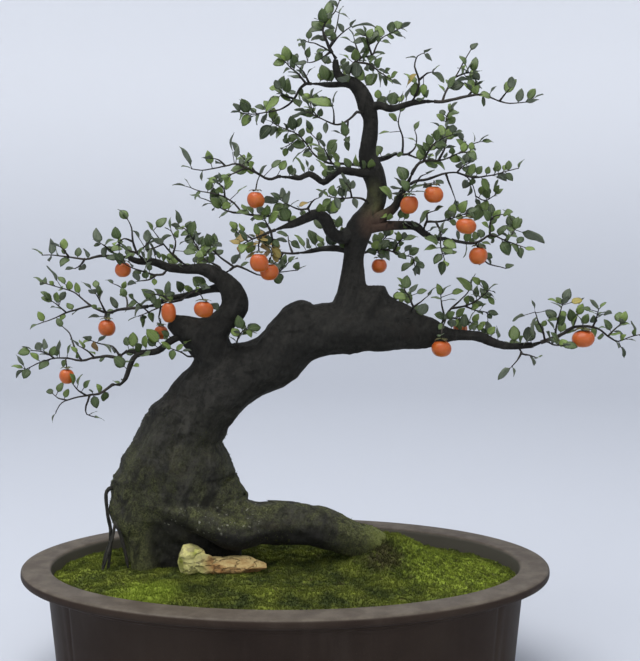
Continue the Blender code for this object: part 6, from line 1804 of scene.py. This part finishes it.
class BonsaiWoodLooks(bpy.types.PropertyGroup):
    """Trunk, roots and branches."""

    dark: colour_setting("Dark bark", "Charcoal of the old bark", (0.010, 0.0095, 0.008))
    light: colour_setting("Worn bark", "Raised grain of the old bark", (0.036, 0.034, 0.028))
    brown: colour_setting("Brown patches", "Where the bark has rubbed", (0.040, 0.030, 0.022))
    ridge: colour_setting("Ridges", "Grey streaks along the bark", (0.062, 0.058, 0.049))
    worn: colour_setting("Worn fork", "Bare brown wood where the fan of limbs parts", (0.075, 0.046, 0.032))
    moss_dark: colour_setting("Moss film, dark", "In the hollows of the film", (0.021, 0.023, 0.009))
    moss_light: colour_setting("Moss film, light", "On the tips of the film", (0.105, 0.110, 0.042))
    moss_tip: colour_setting("Moss on the root's end", "Young moss that creeps up", (0.20, 0.23, 0.05))
    lichen: colour_setting("Lichen", "Small pale flecks near the lip", (0.30, 0.29, 0.23))
    twig_dark: colour_setting("Old twig", "Bark of the older twigs", (0.016, 0.014, 0.012))
    twig_light: colour_setting("Young twig", "Bark of the younger twigs", (0.040, 0.033, 0.025))
    relief: share_setting("Relief", "Strength of the sinews, lumps and grain", 1.0)
    moss_reach: size_setting("Moss reach", "Height that the film of moss reaches", 0.40)


class BonsaiLeafLooks(bpy.types.PropertyGroup):
    """Leaves and calyces."""

    dark: colour_setting("Dark leaf", "Old leaves in shade", (0.020, 0.034, 0.012))
    middle: colour_setting("Middle leaf", "Most leaves", (0.064, 0.100, 0.026))
    bright: colour_setting("Bright leaf", "Young leaves in light", (0.140, 0.205, 0.040))
    yellow: colour_setting("Yellowing leaf", "Leaves that turn", (0.34, 0.30, 0.05))
    dry: colour_setting("Dry leaf", "Leaves that have dried", (0.22, 0.105, 0.045))
    vein: colour_setting("Vein", "Midrib and side veins above", (0.16, 0.19, 0.08))
    shade: colour_setting("Blotch", "Faint dark blotches", (0.026, 0.040, 0.016))
    back_dark: colour_setting("Underside, dark", "Undersides of old leaves", (0.085, 0.105, 0.07))
    back_light: colour_setting("Underside, light", "Undersides of young leaves", (0.17, 0.20, 0.13))
    back_vein: colour_setting("Underside vein", "Midrib below", (0.22, 0.24, 0.16))
    calyx_green: colour_setting("Calyx", "Sepals near the stalk", (0.10, 0.12, 0.035))
    calyx_brown: colour_setting("Dry calyx", "Edges of the sepals", (0.085, 0.05, 0.025))
    spacing: size_setting("Small leaf spacing", "Between small leaves along a twig", 0.0055)
    smallest: size_setting("Smallest leaf", "Least length of a small leaf", 0.009)
    largest: size_setting("Largest small leaf", "Most length of a small leaf", 0.021)


class BonsaiFruitLooks(bpy.types.PropertyGroup):
    """Fruits."""

    deep: colour_setting("Shoulders", "Skin near the calyx", (0.39, 0.070, 0.013))
    orange: colour_setting("Foot", "Skin low down on the fruit", (0.46, 0.108, 0.016))
    yellow: colour_setting("Clouds", "Paler clouds in the skin", (0.52, 0.165, 0.028))
    speck: colour_setting("Specks", "Small dark specks", (0.12, 0.03, 0.01))


class BonsaiPotLooks(bpy.types.PropertyGroup):
    """Pot."""

    body: colour_setting("Body", "Dark stoneware", (0.021, 0.0125, 0.0085))
    body_warm: colour_setting("Warm body", "Where the clay fired browner", (0.032, 0.021, 0.0145))
    # The rim colours are partly wear and, on the rim's top, partly painted light from above
    rim: colour_setting("Rim", "Worn top of the rim", (0.070, 0.056, 0.043))
    inner: colour_setting("Inner wall", "Dusty inside under the rim", (0.088, 0.080, 0.064))
    rim_pale: colour_setting("Pale rim", "Palest wear on the rim", (0.115, 0.096, 0.074))
    dust: colour_setting("Grit", "Pale grit in the clay", (0.20, 0.17, 0.15))
    groove_depth: size_setting("Groove depth", "Depth of the upright grooves", 0.0022)
    sides: bpy.props.IntProperty(name="Sides", description="Faces round the pot", default=288, min=32)


class BonsaiGroundLooks(bpy.types.PropertyGroup):
    """Moss, stone, soil and drainage nets."""

    dark: colour_setting("Dark moss", "Shaded moss", (0.046, 0.058, 0.018))
    green: colour_setting("Moss", "Most of the moss", (0.175, 0.200, 0.032))
    bright: colour_setting("Bright moss", "Young cushions", (0.36, 0.46, 0.055))
    bare: colour_setting("Bare patch", "Dead moss and soil that shows", (0.060, 0.045, 0.025))
    litter: colour_setting("Litter", "Dead tips and crumbs on the moss", (0.20, 0.17, 0.09))
    # Painted shade: the colour that the moss is darkened towards at the sprigs' feet and in the creases
    hollow: colour_setting("Hollow", "Deep between the sprigs", (0.012, 0.018, 0.005))
    pale: colour_setting("Stone, pale", "Left lump of the stone", (0.58, 0.53, 0.16))
    cream: colour_setting("Stone, cream", "Palest stone", (0.68, 0.63, 0.29))
    green_stone: colour_setting("Stone, green", "Algae on the left lump", (0.34, 0.36, 0.055))
    rust: colour_setting("Stone, rust", "Rusty slab", (0.26, 0.118, 0.034))
    sand: colour_setting("Stone, sand", "Paler grain of the slab", (0.40, 0.255, 0.10))
    worn_stone: colour_setting("Stone, weathered", "Grey-brown top of the left lump", (0.21, 0.18, 0.10))
    crack: colour_setting("Crack", "Cracks in the stone", (0.07, 0.045, 0.02))
    soil_dark: colour_setting("Soil, dark", "Between the grains", (0.018, 0.012, 0.008))
    soil_light: colour_setting("Soil, light", "On the grains", (0.075, 0.052, 0.034))
    net_dark: colour_setting("Net, dark", "Plastic net", (0.012, 0.022, 0.014))
    net_light: colour_setting("Net, light", "Scuffed plastic net", (0.03, 0.045, 0.03))
    sprigs: bpy.props.IntProperty(name="Sprigs", description="Moss sprigs on the ground", default=46000,
                                  min=0)
    sprig_size: size_setting("Sprig size", "Height of a moss sprig", 0.0026)


class BonsaiStageLooks(bpy.types.PropertyGroup):
    """Camera, lights and floor."""

    wall: colour_setting("Wall", "Pale backdrop", (0.768, 0.785, 0.82))
    floor: colour_setting("Floor", "Pale floor", (0.48, 0.50, 0.545))
    sky: colour_setting("Sky", "Soft light from all round", (0.94, 0.96, 1.0))
    sky_strength: share_setting("Sky strength", "Strength of the light from all round", 1.0)
    light: share_setting("Light", "Strength of the lamps", 1.0)
    camera_distance: size_setting("Camera distance", "From the pot's middle line", VIEW_DISTANCE * MM)
    camera_pitch: bpy.props.FloatProperty(name="Camera pitch", description="Below level",
                                          default=math.radians(5.65), subtype="ANGLE")
    lens: bpy.props.FloatProperty(name="Lens", description="Focal length in mm", default=63.6)


# Operators

TREE = {}


def tree_plan():
    """The plan, worked out once, with small leaves added and every leaf tinted."""
    if not TREE:
        looks = bpy.context.scene.bonsai_leaves
        wood, sprays, fruits = plan_tree()
        sizes = (looks.spacing / MM, looks.smallest / MM, looks.largest / MM)
        plan_small_leaves(wood, sprays, fruits, *sizes)
        limb_leaves = plan_limb_leaves(wood, fruits, *sizes)
        tint_leaves([spray["leaves"] for spray in sprays.values()] + [limb_leaves])
        TREE.update(wood=wood, sprays=sprays, fruits=fruits, limb_leaves=limb_leaves)
    return TREE


class BONSAI_OT_trunk(bpy.types.Operator):
    """Fuse the trunk with its roots, knobs and thick limbs, and raise its bark"""

    bl_idname = "bonsai.trunk"
    bl_label = "Trunk and roots"

    def execute(self, context):
        looks = context.scene.bonsai_wood
        paths = [smooth_path(path, FINE_SPACING) for name, (path, sides) in tree_plan()["wood"].items()
                 if sides >= THICK_SIDES or name.startswith("buried")]
        slope = limb_path(SHOULDER_SLOPE, FINE_SPACING)
        tubes = [swept_tube(path, TRUNK_SIDES) for path in paths + [slope]]
        trunk = fused("trunk", tubes, TRUNK_VOXEL)
        displace(trunk.data, trunk_relief(trunk.data, paths, looks.relief))
        trim_trunk(trunk.data)
        trunk.data.shade_smooth()
        trunk.data.materials.append(bark_finish("old_bark", looks, looks.moss_reach))
        settle(trunk, "wood", slot="bark")
        return {"FINISHED"}


class BONSAI_OT_branches(bpy.types.Operator):
    """Sweep the thinner branches, the aerial roots and the stub that each spray grows from"""

    bl_idname = "bonsai.branches"
    bl_label = "Branches"

    def execute(self, context):
        looks = context.scene.bonsai_wood
        tree = tree_plan()
        tubes = []
        for name, (path, sides) in tree["wood"].items():
            if sides < THICK_SIDES and not name.startswith("buried"):
                path = path.copy()
                path[:, 3] *= AERIAL_SHARE if name.startswith("aerial") else 1.0
                tubes.append(limb_tube(name, path, 12, 0.16))
        tubes += [limb_tube("root_strand", limb_path(strand, FINE_SPACING), 10, 0.2)
                  for strand in ROOT_STRANDS]
        tubes += [limb_tube(name, spray["stub"], 10, 0.12) for name, spray in tree["sprays"].items()]
        finish = bark_finish("branch_bark", looks, BARE_HEIGHT * MM)
        branches = piece_of("branches", [finish], *[tube[:2] for tube in tubes])
        settle(branches, "wood", slot="bark")
        return {"FINISHED"}


class BONSAI_OT_sprays(bpy.types.Operator):
    """Build each leafy spray: crooked twigs, veined leaves, fruit stalks and calyces"""

    bl_idname = "bonsai.sprays"
    bl_label = "Leafy sprays"

    def execute(self, context):
        looks = context.scene.bonsai_leaves
        finishes = [twig_finish(context.scene.bonsai_wood), leaf_finish("leaf_upper", looks, False),
                    leaf_finish("leaf_under", looks, True), calyx_finish(looks)]
        rng = random.Random(SEED + 3)
        for number, (name, spray) in enumerate(tree_plan()["sprays"].items()):
            made = spray_skin(spray, number, rng).piece("leafy_" + name, finishes)
            settle(made, name, slot="leaf")
        skin = Skin()
        add_leaves(skin, TREE["limb_leaves"], rng)
        settle(skin.piece("leaves_on_limbs", finishes), slot="leaf")
        return {"FINISHED"}


class BONSAI_OT_fruits(bpy.types.Operator):
    """Build the persimmons, four-lobed and flattened"""

    bl_idname = "bonsai.fruits"
    bl_label = "Fruits"

    def execute(self, context):
        finish = fruit_finish(context.scene.bonsai_fruits)
        rng = random.Random(SEED + 4)
        for name, fruit in tree_plan()["fruits"].items():
            made = piece_of(name.replace("fruit", "persimmon"), [finish], fruit_surface(fruit, rng))
            settle(made, name, slot="persimmon")
        return {"FINISHED"}


class BONSAI_OT_pot(bpy.types.Operator):
    """Build the oval pot with its rolled rim, band, upright grooves and drain holes"""

    bl_idname = "bonsai.pot"
    bl_label = "Pot"

    def execute(self, context):
        looks = context.scene.bonsai_pot
        pot = piece_of("oval_pot", [pot_finish(looks)], pot_surface(looks))
        cutters = []
        for x in (-DRAIN_X, DRAIN_X):
            cutters.append(cutter("drain", (x - DRAIN_RADIUS, -DRAIN_RADIUS, -5.0),
                                  (x + DRAIN_RADIUS, DRAIN_RADIUS, FLOOR + 5.0), 40))
            cutters.append(cutter("channel", (x - 0.5 * CHANNEL_WIDTH, -POT_HALF_DEPTH, -5.0),
                                  (x + 0.5 * CHANNEL_WIDTH, POT_HALF_DEPTH, CHANNEL_DEPTH)))
        for tool in cutters:
            set_all(pot.modifiers.new("drainage", "BOOLEAN"), operation="DIFFERENCE", solver="EXACT",
                    object=tool)
        apply_modifiers(pot)
        pot.data.set_sharp_from_angle(angle=math.radians(50.0))
        for tool in cutters:
            bpy.data.objects.remove(tool)
        settle(pot, "pot", slot="pot_stoneware")
        return {"FINISHED"}


class BONSAI_OT_moss(bpy.types.Operator):
    """Spread the moss: cushions in relief, and sprigs that stand on them and on the trunk's foot"""

    bl_idname = "bonsai.moss"
    bl_label = "Moss"

    def execute(self, context):
        looks = context.scene.bonsai_ground
        finish = moss_finish(looks)
        size = looks.sprig_size / MM
        rng = np.random.default_rng(SEED)
        settle(piece_of("moss_carpet", [finish], moss_ground()), "moss", slot="moss")
        grown = ground_sprigs(looks.sprigs, size, rng)
        settle(piece_of("moss_sprigs", [finish], grown), slot="moss")
        grown = trunk_sprigs(0.5 * size, context.scene.bonsai_wood.moss_reach / MM, rng)
        settle(piece_of("moss_on_the_trunk", [finish], grown), slot="moss")
        return {"FINISHED"}


class BONSAI_OT_stones(bpy.types.Operator):
    """Build the stone from its lumps, and give the soil and the drainage nets their finishes"""

    bl_idname = "bonsai.stones"
    bl_label = "Stone, soil and nets"

    def execute(self, context):
        looks = context.scene.bonsai_ground
        lumps = [rock_surface(seen(*place), size, seed) for place, size, seed in ROCK_LUMPS]
        stone = fused("stone", lumps, ROCK_VOXEL)
        displace(stone.data, layered_noise(points_and_normals(stone.data)[0], 6.0, 3, 71) * 0.45)
        stone.data.materials.append(rock_finish(looks))
        stone.data.set_sharp_from_angle(angle=math.radians(38.0))
        settle(stone, "rock", slot="rock")
        net = net_finish(looks)
        for name, finish in (("soil", soil_finish(looks)), ("drain_mesh_left", net),
                             ("drain_mesh_right", net)):
            for material_slot in bpy.data.objects[name].material_slots:
                material_slot.material = finish
        return {"FINISHED"}


class BONSAI_OT_stage(bpy.types.Operator):
    """Set up the round pale stage, the soft lights and the camera"""

    bl_idname = "bonsai.stage"
    bl_label = "Stage"

    def execute(self, context):
        looks = context.scene.bonsai_stage
        bend = np.linspace(0.0, 0.5 * np.pi, 14)[:, None]
        reach = np.vstack([[[STAGE_FLOOR * 0.5]], STAGE_FLOOR + STAGE_BEND * np.sin(bend),
                           [[STAGE_FLOOR + STAGE_BEND]]])
        height = np.vstack([[[0.0]], STAGE_BEND * (1.0 - np.cos(bend)), [[STAGE_TOP]]])
        turns = np.arange(STAGE_SIDES)[None] * 2.0 * np.pi / STAGE_SIDES
        rings = np.broadcast_arrays(reach * np.cos(turns), reach * np.sin(turns), height)
        points = np.vstack([np.stack(rings, axis=-1).reshape(-1, 3), [[0.0, 0.0, 0.0]]]) / MM
        faces = turned_over(ring_faces(len(reach), STAGE_SIDES, len(points) - 1))
        piece_of("stage_bowl", [wall_finish(looks)], (points, faces))

        world = bpy.data.worlds.new("studio")
        world.use_nodes = True
        background = world.node_tree.nodes["Background"]
        background.inputs["Color"].default_value = (*looks.sky, 1.0)
        background.inputs["Strength"].default_value = looks.sky_strength
        context.scene.world = world

        for name, place, target, size, power in STAGE_LIGHTS:
            light = set_all(bpy.data.lights.new(name, "AREA"), shape="DISK", size=size,
                            energy=power * looks.light)
            aim = Vector(target) - Vector(place)
            lamp = set_all(bpy.data.objects.new(name, light), location=place, visible_camera=False,
                           rotation_euler=aim.to_track_quat("-Z", "Y").to_euler())
            context.scene.collection.objects.link(lamp)

        lens = set_all(bpy.data.cameras.new("camera"), lens=looks.lens, clip_start=0.05)
        camera = set_all(bpy.data.objects.new("camera", lens),
                         location=(VIEW_X * MM, -looks.camera_distance, VIEW_Z * MM),
                         rotation_euler=(0.5 * math.pi - looks.camera_pitch, 0.0, 0.0))
        context.scene.collection.objects.link(camera)
        context.scene.camera = camera
        context.scene.view_settings.view_transform = "Standard"
        return {"FINISHED"}


class BONSAI_PT_panel(bpy.types.Panel):
    """Lists the settings and the steps that build the pieces."""

    bl_label = "Persimmon bonsai"
    bl_idname = "BONSAI_PT_panel"
    bl_space_type = "VIEW_3D"
    bl_region_type = "UI"
    bl_category = "Bonsai"

    def draw(self, context):
        for operator in OPERATORS:
            self.layout.operator(operator.bl_idname)
        for key, group in SETTINGS.items():
            box = self.layout.box()
            box.label(text=group.__doc__)
            for name in group.__annotations__:
                box.prop(getattr(context.scene, key), name)


SETTINGS = {
    "bonsai_wood": BonsaiWoodLooks, "bonsai_leaves": BonsaiLeafLooks,
    "bonsai_fruits": BonsaiFruitLooks, "bonsai_pot": BonsaiPotLooks,
    "bonsai_ground": BonsaiGroundLooks, "bonsai_stage": BonsaiStageLooks,
}
OPERATORS = (
    BONSAI_OT_trunk, BONSAI_OT_branches, BONSAI_OT_sprays, BONSAI_OT_fruits, BONSAI_OT_pot,
    BONSAI_OT_moss, BONSAI_OT_stones, BONSAI_OT_stage,
)


def register():
    """Registers the settings, the operators and the panel."""
    for key, group in SETTINGS.items():
        bpy.utils.register_class(group)
        setattr(bpy.types.Scene, key, bpy.props.PointerProperty(type=group))
    for made in (*OPERATORS, BONSAI_PT_panel):
        bpy.utils.register_class(made)


def unregister():
    """Takes them away again."""
    for made in (BONSAI_PT_panel, *reversed(OPERATORS)):
        bpy.utils.unregister_class(made)
    for key, group in reversed(SETTINGS.items()):
        delattr(bpy.types.Scene, key)
        bpy.utils.unregister_class(group)


def main():
    """Builds every piece in order."""
    register()
    bpy.ops.bonsai.trunk()
    bpy.ops.bonsai.branches()
    bpy.ops.bonsai.sprays()
    bpy.ops.bonsai.fruits()
    bpy.ops.bonsai.pot()
    bpy.ops.bonsai.moss()
    bpy.ops.bonsai.stones()
    bpy.ops.bonsai.stage()


if __name__ == "__main__":
    main()
